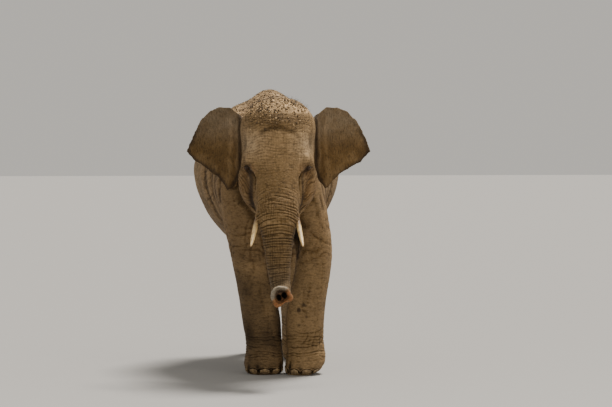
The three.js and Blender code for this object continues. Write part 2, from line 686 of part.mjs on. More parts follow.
// Where each leg is parted from the trunk of the body: between the pair, above, before and behind.
const LEG_PLANES = {
  fore_right: [
    planeThrough([100, 0, 0], [-1, 0, 0]),
    planeThrough([100, 0, 1000], [-0.76, 0, -0.65]),
    planeThrough([0, -480, 0], [0, 1, 0]),
    planeThrough([0, 470, 0], [0, -1, 0]),
  ],
  fore_left: [
    planeThrough([103, 0, 0], [1, 0, 0]),
    planeThrough([103, 0, 1000], [0.80, 0, -0.60]),
    planeThrough([0, -480, 0], [0, 1, 0]),
    planeThrough([0, 470, 0], [0, -1, 0]),
  ],
  hind_right: [
    planeThrough([160, 1380, 0], [-1, 0.1, 0]),
    planeThrough([160, 1380, 930], [-0.78, 0, -0.62]),
    planeThrough([0, 980, 0], [0, 1, 0]),
  ],
  hind_left: [
    planeThrough([162, 1380, 0], [1, -0.1, 0]),
    planeThrough([162, 1380, 930], [0.84, 0, -0.54]),
    planeThrough([0, 880, 0], [0, 1, 0]),
  ],
};

let rest = body;
for (const leg of legs) {
  const [limb, remainder] = carve(rest, LEG_PLANES[leg.name]);
  rest = remainder;
  const [upper, lowerLimb] = carve(limb, [planeThrough([0, 0, leg.cuts.middle], [0, 0, 1])]);
  const [shank, foot] = carve(lowerLimb, [planeThrough([0, 0, leg.cuts.ankle], [0, 0, 1])]);
  addNode(`leg_${leg.name}_upper`, upper, HIDE);
  addNode(`leg_${leg.name}_lower`, shank, HIDE_DARK);
  addNode(`foot_${leg.name}`, foot, HIDE);
  leg.nails.forEach((degrees, i) => {
    const nail = nailSolid(leg.sizes, leg.line, degrees, leg.nail);
    addNode(`nail_${leg.name}_${i + 1}`, nail, NAIL_COLOUR, NAIL_ROUGHNESS);
  });
}

const NECK_PLANE = planeThrough([0, -250, 2200], [0, -0.99, 0.143]);
const SHOULDER_PLANE = planeThrough([0, -120, 0], [0, -1, 0]);
const RIB_PLANE = planeThrough([0, 470, 0], [0, -1, 0]);
const LOIN_PLANE = planeThrough([0, 1180, 0], [0, -1, 0]);
const MOUTH_PLANES = [
  planeThrough([0, -742, 1392], [0, 0.92, -0.39]),
  planeThrough([0, -600, 1392], [0, -0.1, -1]),
];

let [head, behindHead] = carve(rest, [NECK_PLANE]);
let [neck, behindNeck] = carve(behindHead, [SHOULDER_PLANE]);
const [forequarters, behindRibs] = carve(behindNeck, [RIB_PLANE]);
const [barrel, hindWhole] = carve(behindRibs, [LOIN_PLANE]);
const hindquarters = hindWhole.subtract(loft(tubeRings(TAIL, TAIL_SIDES, 2 * GAP)));

for (const side of [-1, 1]) {
  const sideName = side < 0 ? 'right' : 'left';
  const centre = eyeCentre(headFlesh, side);
  head = head.subtract(ball(centre, EYE_RADIUS + GAP)).subtract(earSolid(side, EAR_CLEARANCE))
    .subtract(tuskSolid(side, GAP));
  neck = neck.subtract(earSolid(side, EAR_CLEARANCE));
  addNode(`ear_${sideName}`, earSolid(side), HIDE_DARK);
  addNode(`eye_${sideName}`, ball(centre, EYE_RADIUS), EYE_COLOUR, EYE_ROUGHNESS);
  addNode(`tusk_${sideName}`, tuskSolid(side), IVORY, IVORY_ROUGHNESS);
}
head = head.subtract(loft(headRings(TRUNK.slice(0, TRUNK_IN_HEAD), TRUNK_SIDES, GAP)));
const [jaw, skull] = carve(mainBody(head), MOUTH_PLANES);

addNode('head', skull, HIDE);
addNode('jaw', jaw, HIDE_DARK);
addNode('neck', mainBody(neck), HIDE_DARK);
addNode('forequarters', forequarters, HIDE);
addNode('barrel', barrel, HIDE_DARK);
addNode('hindquarters', mainBody(hindquarters), HIDE);

for (let i = 0; i < TRUNK_CUTS.length - 1; i += 1) {
  const rows = TRUNK.slice(TRUNK_CUTS[i], TRUNK_CUTS[i + 1] + 1);
  const isTip = i === TRUNK_CUTS.length - 2;
  rows[0] = pushedOn(rows[0], GAP);
  let length = loft(headRings(rows, TRUNK_SIDES));
  if (isTip) {
    length = length.subtract(nostril(-1)).subtract(nostril(1));
  }
  if (i === 0) {
    length = length.subtract(tuskSolid(-1, GAP)).subtract(tuskSolid(1, GAP));
  }
  addNode(isTip ? 'trunk_tip' : `trunk_${i + 1}`, length, i % 2 ? HIDE : HIDE_DARK);
}

for (let i = 0; i < TAIL_CUTS.length - 1; i += 1) {
  const rings = tailRings.slice(TAIL_CUTS[i], TAIL_CUTS[i + 1] + 1);
  addNode(`tail_${i + 1}`, loft(rings), i % 2 ? HIDE : HIDE_DARK);
}
addNode('tail_tuft', loft(tubeRings(TUFT, TAIL_SIDES)), HAIR_COLOUR);

// ---------------------------------------------------------------- the finished group

const box = new THREE.Box3().setFromObject(model);
const middle = box.getCenter(new THREE.Vector3());
model.position.set(-middle.x, -middle.y, -box.min.z);

export default model;
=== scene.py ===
"""A still, life-size Asian elephant: one wrinkled skin over the solids, with eyes, tusks, nails and hair."""
import math
from itertools import product

import bmesh
import bpy
import numpy as np
from mathutils import Matrix, Vector
from mathutils.bvhtree import BVHTree
from mathutils.kdtree import KDTree


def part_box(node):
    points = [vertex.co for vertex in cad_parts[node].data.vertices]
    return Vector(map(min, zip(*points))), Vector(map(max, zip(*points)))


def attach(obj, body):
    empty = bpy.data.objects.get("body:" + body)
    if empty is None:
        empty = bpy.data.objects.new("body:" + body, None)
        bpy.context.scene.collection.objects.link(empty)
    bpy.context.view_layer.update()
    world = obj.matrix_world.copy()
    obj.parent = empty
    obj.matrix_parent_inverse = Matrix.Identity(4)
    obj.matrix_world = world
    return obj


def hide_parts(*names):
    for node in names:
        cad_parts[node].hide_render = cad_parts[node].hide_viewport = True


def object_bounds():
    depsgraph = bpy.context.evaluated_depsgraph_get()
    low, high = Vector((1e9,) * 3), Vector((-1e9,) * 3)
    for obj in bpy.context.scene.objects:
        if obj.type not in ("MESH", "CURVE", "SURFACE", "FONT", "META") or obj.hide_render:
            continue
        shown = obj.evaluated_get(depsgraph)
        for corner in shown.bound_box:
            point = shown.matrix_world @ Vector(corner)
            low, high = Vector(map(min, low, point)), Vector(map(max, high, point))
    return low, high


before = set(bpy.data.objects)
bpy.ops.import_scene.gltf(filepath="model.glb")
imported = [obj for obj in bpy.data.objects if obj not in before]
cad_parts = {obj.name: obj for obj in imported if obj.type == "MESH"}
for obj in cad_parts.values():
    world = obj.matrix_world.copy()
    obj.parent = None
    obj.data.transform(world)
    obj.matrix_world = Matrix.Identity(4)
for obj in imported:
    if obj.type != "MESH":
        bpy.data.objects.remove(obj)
CAD_BOX = [list(corner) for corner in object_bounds()]

bl_info = {
    "name": "Asian Elephant",
    "version": (1, 0, 0),
    "blender": (4, 5, 0),
    "location": "3D View > Sidebar > Elephant",
    "description": "Builds the skin, eyes, tusks, nails and hair of a life-size Asian elephant",
    "category": "Add Mesh",
}

FLESH = [
    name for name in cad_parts
    if name.split("_")[0] in (
        "head", "jaw", "neck", "forequarters", "barrel", "hindquarters", "trunk", "leg", "foot", "ear",
    )
] + ["tail_1", "tail_2"]

NAILS = sorted(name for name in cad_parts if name.startswith("nail_"))


# ---------------------------------------------------------------- the head's own directions

def middle(node):
    low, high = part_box(node)
    return (low + high) / 2


RIGHT_EYE = middle("eye_right")
LEFT_EYE = middle("eye_left")
EYE_RADIUS = (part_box("eye_left")[1].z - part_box("eye_left")[0].z) / 2
BROW = (RIGHT_EYE + LEFT_EYE) / 2             # between the eyes: head places are measured from here
ACROSS = (LEFT_EYE - RIGHT_EYE).normalized()  # towards the animal's left
AHEAD = Vector((ACROSS.y, -ACROSS.x, 0))      # towards the trunk
UP = (0, 0, 1)


def head_place(across, ahead, up):
    """A point of the head in the frame: distances from the middle between the eyes."""
    return BROW + ACROSS * across + AHEAD * ahead + Vector((0, 0, up))


def head_coordinates(points):
    """Across, ahead and up of many points, measured from between the eyes."""
    away = points - np.array(BROW)
    return np.column_stack([away @ np.array(ACROSS), away @ np.array(AHEAD), away[:, 2]])


# ---------------------------------------------------------------- numbers for every point of a mesh

def smoothstep(low, high, value):
    t = np.clip((value - low) / (high - low), 0, 1)
    return t * t * (3 - 2 * t)


def lattice(cells, seed):
    """A number from 0 to 1 for each whole-number cell, the same on every run."""
    mixed = cells[:, 0] * 374761393 + cells[:, 1] * 668265263 + cells[:, 2] * 1440662683 + seed * 974634777
    mixed = (mixed ^ (mixed >> 13)) * 1274126177
    return ((mixed ^ (mixed >> 16)) & 0xFFFFFF) / 0xFFFFFF


def noise(points, size, seed):
    """Smooth noise from -1 to 1, with lumps about size metres across."""
    scaled = points / size
    base = np.floor(scaled).astype(np.int64)
    part = scaled - base
    ease = part ** 3 * (part * (part * 6 - 15) + 10)
    total = np.zeros(len(points))
    for corner in product((0, 1), repeat=3):
        weight = np.prod(np.where(corner, ease, 1 - ease), axis=1)
        total += weight * lattice(base + np.array(corner), seed)
    return total * 2 - 1


def creases(along, points, spacing, seed, wobble=0.6, width=0.17):
    """Wrinkles, one for each whole number that along passes: 1 in the bottom of one, 0 between them.
    spacing is about how far apart they are in metres, which sets how they wander and break off."""
    wander = noise(points, spacing * 5, seed) + 0.25 * noise(points, spacing * 1.6, seed + 1)
    phase = along + wobble * wander
    nearest = np.round(phase)
    cut = np.exp(-((phase - nearest) / width) ** 2)
    rank = np.column_stack([nearest, nearest * 0, nearest * 0]).astype(np.int64)
    depth = 0.45 + 0.55 * lattice(rank, seed + 2)
    gaps = smoothstep(-0.55, 0.15, noise(points + 0.37 * nearest[:, None], spacing * 4.5, seed + 3))
    return cut * depth * gaps


def path_distance(points, path):
    """Distance from each point to a line of straight stretches, and how far along it from 0 to 1."""
    best = np.full(len(points), 1e9)
    along = np.zeros(len(points))
    steps = [(b - a).length for a, b in zip(path, path[1:])]
    total = sum(steps)
    run = 0.0
    for a, b, step in zip(path, path[1:], steps):
        start = np.array(a)
        line = np.array(b - a)
        t = np.clip(((points - start) @ line) / (step * step), 0, 1)
        distance = np.linalg.norm(points - start - t[:, None] * line, axis=1)
        closer = distance < best
        best = np.where(closer, distance, best)
        along = np.where(closer, (run + t * step) / total, along)
        run += step
    return best, along


# ---------------------------------------------------------------- meshes

def new_object(name, mesh):
    piece = bpy.data.objects.new(name, mesh)
    bpy.context.scene.collection.objects.link(piece)
    return piece


def points_of(mesh):
    flat = np.empty(len(mesh.vertices) * 3, np.float32)
    mesh.vertices.foreach_get("co", flat)
    return flat.reshape(-1, 3).astype(float)


def set_points(mesh, points):
    mesh.vertices.foreach_set("co", points.astype(np.float32).ravel())
    mesh.update()


def normals_of(mesh):
    flat = np.empty(len(mesh.vertices) * 3, np.float32)
    mesh.vertex_normals.foreach_get("vector", flat)
    return flat.reshape(-1, 3).astype(float)


def edges_of(mesh):
    flat = np.empty(len(mesh.edges) * 2, np.int32)
    mesh.edges.foreach_get("vertices", flat)
    return flat.reshape(-1, 2)


def spread(values, edges, rounds, strength):
    """Values evened out along the mesh's edges. strength is one number or one for each point."""
    count = len(values)
    neighbours = np.bincount(edges.ravel(), minlength=count)
    neighbours = np.maximum(neighbours, 1)
    columns = values.reshape(count, -1).T.astype(float)
    start, end = edges[:, 0], edges[:, 1]
    for _ in range(rounds):
        for k, column in enumerate(columns):
            total = np.bincount(start, column[end], count) + np.bincount(end, column[start], count)
            columns[k] = column + strength * (total / neighbours - column)
    return columns.T.reshape(values.shape)


def with_modifier(piece, kind, **settings):
    """Applies one modifier and leaves the piece with its result."""
    modifier = piece.modifiers.new(kind.title(), kind)
    for key, value in settings.items():
        setattr(modifier, key, value)
    bpy.context.view_layer.update()
    graph = bpy.context.evaluated_depsgraph_get()
    mesh = bpy.data.meshes.new_from_object(piece.evaluated_get(graph))
    piece.modifiers.clear()
    old = piece.data
    piece.data = mesh
    bpy.data.meshes.remove(old)


def joined_copy(name, nodes):
    """One mesh from copies of CAD nodes, with their loose triangles merged."""
    work = bmesh.new()
    for node in nodes:
        part = bmesh.new()
        part.from_mesh(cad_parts[node].data)
        bmesh.ops.remove_doubles(part, verts=part.verts, dist=1e-5)
        mesh = bpy.data.meshes.new("part")
        part.to_mesh(mesh)
        part.free()
        work.from_mesh(mesh)
        bpy.data.meshes.remove(mesh)
    mesh = bpy.data.meshes.new(name)
    work.to_mesh(mesh)
    work.free()
    return new_object(name, mesh)


# ---------------------------------------------------------------- regions of the body

LEGS = ("fore_left", "fore_right", "hind_left", "hind_right")
# Each region: the CAD nodes it is made from, how widely its facets are evened out, and how far the
# true round surface stands outside the flat facets, both in metres.
REGIONS = {
    "torso": (("neck", "forequarters", "barrel", "hindquarters"), 0.066, 0.007),
    "thigh": (tuple("leg_" + leg + "_upper" for leg in LEGS), 0.058, 0.011),
    "shank": (tuple("leg_" + leg + "_lower" for leg in LEGS), 0.032, 0.008),
    "foot": (tuple("foot_" + leg for leg in LEGS), 0.017, 0.002),
    "skull": (("head", "eye_left", "eye_right"), 0.030, 0.003),
    "jaw": (("jaw",), 0.024, 0.002),
    "trunk": (("trunk_1", "trunk_2", "trunk_3", "trunk_4"), 0.022, 0.003),
    "tip": (("trunk_tip",), 0.010, 0.001),
    "ear": (("ear_left", "ear_right"), 0.011, 0.0),
    "tail": (("tail_1", "tail_2"), 0.014, 0.001),
}


SAMPLE_SPACING = 0.03                 # between the points that tell which region a place belongs to


def region_points(nodes):
    """Evenly spread points over the surfaces of some CAD nodes."""
    piece = joined_copy("sample", nodes)
    with_modifier(piece, "REMESH", mode="VOXEL", voxel_size=SAMPLE_SPACING)
    points = points_of(piece.data)
    discard(piece)
    return points


def discard(piece):
    mesh = piece.data
    bpy.data.objects.remove(piece)
    bpy.data.meshes.remove(mesh)


def store(mesh, name, values):
    """Keeps one number for each point of a mesh under a name."""
    layer = mesh.attributes.get(name) or mesh.attributes.new(name, "FLOAT", "POINT")
    layer.data.foreach_set("value", np.asarray(values, np.float32))


def stored(mesh, name):
    values = np.empty(len(mesh.vertices), np.float32)
    mesh.attributes[name].data.foreach_get("value", values)
    return values.astype(float)


def mark_regions(mesh):
    """Stores a soft mask for each region, found from the nearest CAD node."""
    samples = []
    for index, (nodes, _, _) in enumerate(REGIONS.values()):
        samples += [(point, index) for point in region_points(nodes)]
    tree = KDTree(len(samples))
    for point, index in samples:
        tree.insert(point, index)
    tree.balance()
    owner = np.array([tree.find(point)[1] for point in points_of(mesh)])
    edges = edges_of(mesh)
    for index, name in enumerate(REGIONS):
        store(mesh, name, spread((owner == index).astype(float), edges, 12, 0.8))


def even_out(mesh):
    """Turns the flat facets of the solids into round flesh, most where the facets are largest."""
    edges = edges_of(mesh)
    points = points_of(mesh)
    masks = [stored(mesh, name) for name in REGIONS]
    total = sum(masks)
    wide = sum(mask * size for mask, (_, size, _) in zip(masks, REGIONS.values())) / total
    proud = sum(mask * out for mask, (_, _, out) in zip(masks, REGIONS.values())) / total
    edge_length = np.linalg.norm(points[edges[:, 0]] - points[edges[:, 1]], axis=1).mean()
    work = 2 * (wide / edge_length) ** 2         # rounds of full strength that spread a facet this wide
    rounds = int(np.ceil(work.max() / 0.8))
    strength = np.clip(work / rounds, 0, 0.8)
    floor = smoothstep(0.0, 0.02, points[:, 2])  # the soles stay flat
    even = spread(points, edges, rounds, strength * floor)
    set_points(mesh, even)
    set_points(mesh, even + normals_of(mesh) * (proud * floor)[:, None])


# ---------------------------------------------------------------- lines drawn on the skin

def skin_tree(mesh):
    """The mesh as a tree that rays and nearest-point searches can use."""
    work = bmesh.new()
    work.from_mesh(mesh)
    tree = BVHTree.FromBMesh(work)
    work.free()
    return tree


def seen_from(tree, direction, places):
    """Each place moved along a direction to where it first meets the skin."""
    found = []
    for place in places:
        hit = tree.ray_cast(place - direction * 3, direction)[0]
        found.append(hit if hit is not None else tree.find_nearest(place)[0])
    return found


def face_line(tree, places):
    """A line over the face, given by how far across and how far up its points are."""
    return seen_from(tree, -AHEAD, [head_place(across, 0, up) for across, up in places])


def cheek_line(tree, side, places):
    """A line over one side of the head, given by how far ahead and how far up its points are."""
    return seen_from(tree, ACROSS * -side, [head_place(0, ahead, up) for ahead, up in places])


def flank_line(tree, side, places):
    """A line over one side of the body, given by how far along and how high its points are."""
    return seen_from(tree, Vector((-side, 0, 0)), [Vector((0, along, height)) for along, height in places])


def bell(distance, width):
    """1 at no distance, fading to nothing at about twice the width."""
    return np.exp(-(distance / width) ** 2)


def groove(points, path, width, depth, fade=0.12):
    """The height of a soft groove along a path, below zero. A negative depth raises a ridge."""
    distance, along = path_distance(points, path)
    ends = smoothstep(0, fade, along) * smoothstep(0, fade, 1 - along)
    return -depth * bell(distance, width) * (0.15 + 0.85 * ends)


def lump(points, centre, width, height):
    """The height of a round swelling, at each point. A negative height makes a hollow."""
    return height * bell(np.linalg.norm(points - np.array(centre), axis=1), width)


def both_sides(height_of):
    """The sum of one shape made on the left, +1, and on the right, -1."""
    return height_of(1) + height_of(-1)


# ---------------------------------------------------------------- large forms
# Heights are in metres: above zero they push the skin out along its normals, below zero in.

# The middle line of the trunk and of the face above it: across, ahead and up from between the eyes.
TRUNK_LINE = (
    (0.0, -0.030, 0.060), (0.0, 0.010, -0.120), (0.0, 0.060, -0.240), (0.002, 0.140, -0.350),
    (0.003, 0.223, -0.492), (0.005, 0.254, -0.575), (0.008, 0.276, -0.670), (0.012, 0.290, -0.790),
    (0.018, 0.294, -0.875), (0.024, 0.310, -0.944), (0.029, 0.358, -0.997), (0.032, 0.428, -1.017),
    (0.033, 0.500, -1.020), (0.033, 0.560, -1.020),
)

# The line from each eye's front corner down between the trunk and the cheek: across and up.
TEAR_LINE = ((0.236, -0.012), (0.212, -0.045), (0.199, -0.090), (0.203, -0.160), (0.205, -0.225),
             (0.192, -0.310), (0.170, -0.375))
# The ridge of flesh over each tusk: across and up.
SHEATH_LINE = ((0.125, -0.150), (0.142, -0.260), (0.158, -0.360), (0.168, -0.425))
# The corner of the mouth, and the folds of the jaw behind it: ahead and up.
MOUTH_LINE = ((0.145, -0.505), (0.095, -0.455), (0.030, -0.412), (-0.050, -0.392), (-0.105, -0.388))
JAW_FOLDS = (
    ((-0.060, -0.300), (0.000, -0.345), (0.060, -0.425)),
    ((-0.115, -0.270), (-0.055, -0.345), (-0.020, -0.405)),
    ((-0.170, -0.235), (-0.140, -0.330), (-0.100, -0.405)),
)
# The upper edge of the trunk's root, an arch over the forehead: across and up.
ROOT_ARCH = ((-0.200, 0.225), (-0.140, 0.290), (-0.060, 0.325), (0.030, 0.330), (0.115, 0.300),
             (0.185, 0.235))
# Hollows in front of each eye: across, up, width and depth.
EYE_HOLLOWS = ((0.236, -0.006, 0.034, 0.024), (0.222, -0.045, 0.030, 0.014))


def eye_hollows(mesh):
    """Moves the face back in front of each eye, so that the eye looks out of a hollow under the brow."""
    points = points_of(mesh)
    move = np.zeros(len(points))
    for side in (1, -1):
        for across, up, width, depth in EYE_HOLLOWS:
            place = np.array(head_place(side * across, 0.045, up))
            move -= depth * bell(np.linalg.norm((points - place) * (1, 0.55, 1), axis=1), width)
    set_points(mesh, points + np.outer(move, np.array(AHEAD)))


def head_forms(mesh):
    """The skull's hollows and swellings, and the lines between trunk, cheek and lip."""
    points = points_of(mesh)
    tree = skin_tree(mesh)
    height = both_sides(lambda side: (
        lump(points, head_place(side * 0.300, -0.060, 0.205), 0.080, -0.013)      # temple
        + lump(points, head_place(side * 0.242, 0.050, 0.072), 0.046, 0.016)      # brow
        + lump(points, head_place(side * 0.290, -0.080, 0.030), 0.060, 0.008)     # arch of the cheekbone
        + lump(points, head_place(side * 0.235, 0.020, -0.040), 0.030, -0.008)    # hollow below the eye
        + lump(points, head_place(side * 0.110, 0.100, 0.500), 0.110, 0.007)      # domes of the crown
        + lump(points, head_place(side * 0.265, -0.020, -0.230), 0.060, 0.010)    # hanging cheek
        + groove(points, face_line(tree, [(side * a, u) for a, u in TEAR_LINE]), 0.014, 0.020, 0.2)
        + groove(points, face_line(tree, [(side * a, u) for a, u in TEAR_LINE]), 0.042, 0.022, 0.3)
        + groove(points, face_line(tree, [(side * a, u) for a, u in SHEATH_LINE]), 0.045, -0.009, 0.4)
        + groove(points, cheek_line(tree, side, MOUTH_LINE), 0.010, 0.011, 0.1)
        + groove(points, cheek_line(tree, side, [(a, u + 0.035) for a, u in MOUTH_LINE]), 0.024, -0.006)
        + sum(groove(points, cheek_line(tree, side, fold), 0.010, 0.006, 0.3) for fold in JAW_FOLDS)
    ))
    height += lump(points, head_place(0, 0.20, 0.140), 0.130, 0.010)              # dome of the trunk's root
    height += groove(points, face_line(tree, ROOT_ARCH), 0.030, 0.009, 0.3)
    height += lump(points, head_place(0, 0.20, 0.470), 0.055, -0.007)             # cleft of the crown
    return height * np.clip(stored(mesh, "skull") + stored(mesh, "jaw") + stored(mesh, "trunk"), 0, 1)


# The deep hollow between the chest and the left foreleg: x and z along it.
ARMPIT = ((0.108, 0.84), (0.122, 1.02), (0.138, 1.25))
ARMPIT_WIDTH = 0.038                  # roughly half its width
ARMPIT_DEPTH = 0.055


def armpit(mesh):
    """How deep in the hollow between the chest and the left foreleg each point lies, from 0 to 1."""
    points = points_of(mesh)
    away, _ = path_distance(points * (1, 0, 1), [Vector((x, 0, z)) for x, z in ARMPIT])
    near = smoothstep(-0.12, -0.30, points[:, 1]) * smoothstep(0.35, -0.10, normals_of(mesh)[:, 1])
    return bell(away, ARMPIT_WIDTH) * near * np.clip(stored(mesh, "torso") + stored(mesh, "thigh"), 0, 1)


# Forms of each flank: y and z along their line, width, and depth, below zero for a ridge.
FLANK_FORMS = (
    (((-0.235, 2.02), (-0.200, 1.80), (-0.170, 1.55), (-0.190, 1.30)), 0.060, -0.014),  # shoulder blade
    (((0.030, 1.90), (0.060, 1.68), (0.055, 1.46), (0.020, 1.24)), 0.046, 0.012),       # behind the shoulder
    (((-0.480, 1.95), (-0.450, 1.75), (-0.400, 1.55), (-0.350, 1.40)), 0.034, 0.012),   # neck and shoulder
    (((0.500, 1.50), (0.600, 1.33), (0.660, 1.16)), 0.050, 0.010),                      # flank
    (((1.000, 2.22), (1.090, 2.10), (1.150, 1.93)), 0.070, -0.012),                     # hip bone
    (((0.900, 1.95), (0.960, 1.70), (0.980, 1.45)), 0.080, 0.010),                      # before the thigh
)
SPINE_X = 0.02
KNOB_SPACING = 0.105                  # between the knobs of the spine
# Long hollows beside the spine: how far from it, and depth.
BESIDE_SPINE = ((-0.230, 0.040), (0.270, 0.020))


def body_forms(mesh):
    """Shoulder blade, spine, hip bones, and the deep folds at the leg roots."""
    points = points_of(mesh)
    tree = skin_tree(mesh)
    spine = [Vector((SPINE_X, y, 0)) for y in np.linspace(-0.35, 1.30, 12)]
    spine = seen_from(tree, Vector((0, 0, -1)), spine)
    knobs = 0.5 + 0.5 * np.sin(points[:, 1] * 2 * math.pi / KNOB_SPACING)
    height = -groove(points, spine, 0.045, 0.006) * (0.5 + 0.5 * knobs)
    for offset, depth in BESIDE_SPINE:
        line = [Vector((SPINE_X + offset, y, 0)) for y in np.linspace(-0.25, 1.15, 8)]
        height += groove(points, seen_from(tree, Vector((0, 0, -1)), line), 0.140, depth, 0.25)
    for side in (1, -1):
        for line, width, depth in FLANK_FORMS:
            height += groove(points, flank_line(tree, side, line), width, depth, 0.3)
    height *= np.clip(stored(mesh, "torso") + stored(mesh, "thigh"), 0, 1)
    x, y, z = points.T
    inwards = normals_of(mesh)[:, 0] * np.where(x > 0.05, -1, 1)
    legs = (stored(mesh, "thigh") + stored(mesh, "shank")) * (y < 0.2)
    height += 0.020 * legs * smoothstep(0.1, 0.8, inwards) * bell(z - 0.62, 0.24)
    return height - ARMPIT_DEPTH * armpit(mesh)


# ---------------------------------------------------------------- ears

# The outline of the left ear's free edge: across and up.
EAR_OUTLINE = (
    (0.300, 0.415), (0.345, 0.468), (0.400, 0.498), (0.455, 0.502), (0.505, 0.490), (0.560, 0.466),
    (0.602, 0.438), (0.645, 0.388), (0.682, 0.328), (0.712, 0.268), (0.738, 0.210), (0.768, 0.128),
    (0.728, 0.072), (0.690, 0.038), (0.640, 0.004), (0.585, -0.025), (0.535, -0.055), (0.500, -0.084),
    (0.475, -0.116), (0.450, -0.158), (0.415, -0.200), (0.385, -0.168), (0.360, -0.118), (0.330, -0.055),
)
EAR_FACING = 0.54                     # how far the ear's front is turned outwards
EAR_REACH = 0.010                     # what the rim loses when the facets are evened out
EAR_CORNER = 0.018                    # and the rest that its outer corner loses
EAR_SCALLOPS = 0.0065                 # how ragged the free edge is
EAR_LOBE_MOVE = (0.002, -0.032)       # how far the right ear's lobe is moved, across and up
EAR_CENTRE = (0.20, 0.20)             # where the ear's veins start: across and up
EAR_CORNER_PLACE = (0.768, 0.128)
# Upright folds at the ear's root: how far from it, how far they stand out, and how wide they are.
EAR_FOLDS = ((0.018, -0.012, 0.012), (0.046, 0.009, 0.013), (0.078, -0.006, 0.015), (0.115, 0.005, 0.020))


def ear_places(points):
    """Each point's side and its place on the ear: outwards, up, distance from the free edge and along it."""
    across, _, up = head_coordinates(points).T
    side = np.where(across > 0, 1.0, -1.0)
    flat = np.column_stack([np.abs(across), up, np.zeros(len(points))])
    outline = [Vector((a, u, 0)) for a, u in EAR_OUTLINE]
    rim, along = path_distance(flat, outline)
    return side, np.abs(across), up, rim, along


def ear_moves(points):
    """Where each point of the ears goes: folded root, hollows, veins and curled rim of the whole sheet."""
    side, out, up, rim, along = ear_places(points)
    flat = np.column_stack([out * side, up, np.zeros(len(points))])
    root = out - (0.290 + 0.03 * (0.25 - up))
    folds = np.zeros(len(points))
    for place, depth, width in EAR_FOLDS:
        wander = 0.010 * noise(flat, 0.16, 21) + 0.004 * noise(flat, 0.05, 22)
        folds += depth * bell(root - place - wander, width)
    folds *= smoothstep(-0.16, -0.02, up) * smoothstep(0.47, 0.34, up)
    swell = 0.010 * noise(flat, 0.23, 23) + 0.003 * noise(flat, 0.10, 24)
    angle = np.arctan2(up - EAR_CENTRE[1], out - EAR_CENTRE[0])
    reach = np.hypot(up - EAR_CENTRE[1], out - EAR_CENTRE[0])
    spokes = np.abs(np.sin(angle * 7.5 + 1.6 * noise(flat, 0.13, 25)))
    veins = 0.0028 * (1 - spokes) ** 2 * smoothstep(0.12, 0.20, reach) * smoothstep(0.03, 0.10, rim)
    upper = smoothstep(0.15, 0.36, up)
    curl = (0.022 * upper - 0.008 * (1 - upper)) * bell(rim, 0.050)
    waves = np.sin(along * 40 + 3 * noise(flat, 0.2, 26))
    flutter = 0.006 * waves * bell(rim, 0.060) * smoothstep(0.4, 0.0, up)
    move = folds + (swell + flutter) * smoothstep(0.0, 0.10, root) + veins + curl
    facing = np.array(AHEAD) * math.sqrt(1 - EAR_FACING ** 2) + np.outer(side, np.array(ACROSS)) * EAR_FACING
    outwards = unit(np.outer(side * (out - 0.47), np.array(ACROSS)) + np.outer(up - 0.15, UP) + 1e-9)
    corner = bell(np.hypot(out - EAR_CORNER_PLACE[0], up - EAR_CORNER_PLACE[1]), 0.090)
    scallops = EAR_SCALLOPS * (noise(flat, 0.045, 27) + 0.5 * noise(flat, 0.018, 28))
    reach_out = bell(rim, 0.045) * (EAR_REACH + EAR_CORNER * corner) + bell(rim, 0.022) * scallops
    lobe = smoothstep(0.06, -0.14, up) * (side < 0)
    lobe_move = np.outer(lobe * EAR_LOBE_MOVE[0], np.array(ACROSS)) + np.outer(lobe * EAR_LOBE_MOVE[1], UP)
    return facing * move[:, None] + outwards * reach_out[:, None] + lobe_move


def ear_forms(mesh):
    """Moves the ears' sheets. Both faces of a sheet move alike, so its thickness stays."""
    points = points_of(mesh)
    mask = stored(mesh, "ear")
    chosen = mask > 0.01
    moves = np.zeros_like(points)
    moves[chosen] = ear_moves(points[chosen]) * mask[chosen][:, None]
    moves = spread(moves, edges_of(mesh), 8, 0.7)
    set_points(mesh, points + moves)


# ---------------------------------------------------------------- finer mesh where the detail is

def refine(mesh, chosen):
    """Cuts every edge between chosen points in two, which makes the mesh twice as fine there."""
    work = bmesh.new()
    work.from_mesh(mesh)
    edges = [edge for edge in work.edges if chosen[edge.verts[0].index] and chosen[edge.verts[1].index]]
    bmesh.ops.subdivide_edges(work, edges=edges, cuts=1, use_grid_fill=True)
    work.to_mesh(mesh)
    work.free()
    mesh.update()


# ---------------------------------------------------------------- wrinkles

def line_length(path):
    return sum((b - a).length for a, b in zip(path, path[1:]))


def add(height, mask, points, shape):
    """Adds a shape to the heights only where its mask reaches, which saves working it out elsewhere."""
    chosen = mask > 0.02
    if chosen.any():
        height[chosen] += mask[chosen] * shape(points[chosen])


RING_SPACING = 0.0315                 # between the trunk's rings at its root
RING_NARROWING = 0.0130               # how much closer together they are at each ring further down
RING_DEPTH = 0.0085                   # of the deepest
TRUNK_ARCH = 42.0                     # how much the trunk's upper rings drop at their ends
EYE_OVAL = (1.0, 1.0, 1.45)           # the rings round an eye are this much flatter than they are long


def trunk_wrinkles(points):
    """Rings across the trunk, wide apart at its root and close together at its tip."""
    path = [head_place(*place) for place in TRUNK_LINE]
    _, along = path_distance(points, path)
    metres = along * line_length(path)
    across = head_coordinates(points)[:, 0]
    arch = TRUNK_ARCH * smoothstep(0.80, 0.30, metres) * np.minimum(across ** 2, 0.035)
    count = -np.log(1 - RING_NARROWING * metres / RING_SPACING) / RING_NARROWING - arch
    rings = creases(count, points, 0.030, 331, wobble=0.40, width=0.19)
    between = creases(count * 2.3, points, 0.018, 35, wobble=0.7, width=0.24)
    upright = creases(across / 0.019, points, 0.020, 37, wobble=0.9, width=0.20)
    root = smoothstep(0.55, 0.20, metres)
    depth = (0.0078 - 0.0034 * root) * rings + 0.0024 * between + 0.0024 * upright
    return -np.minimum(depth, RING_DEPTH)


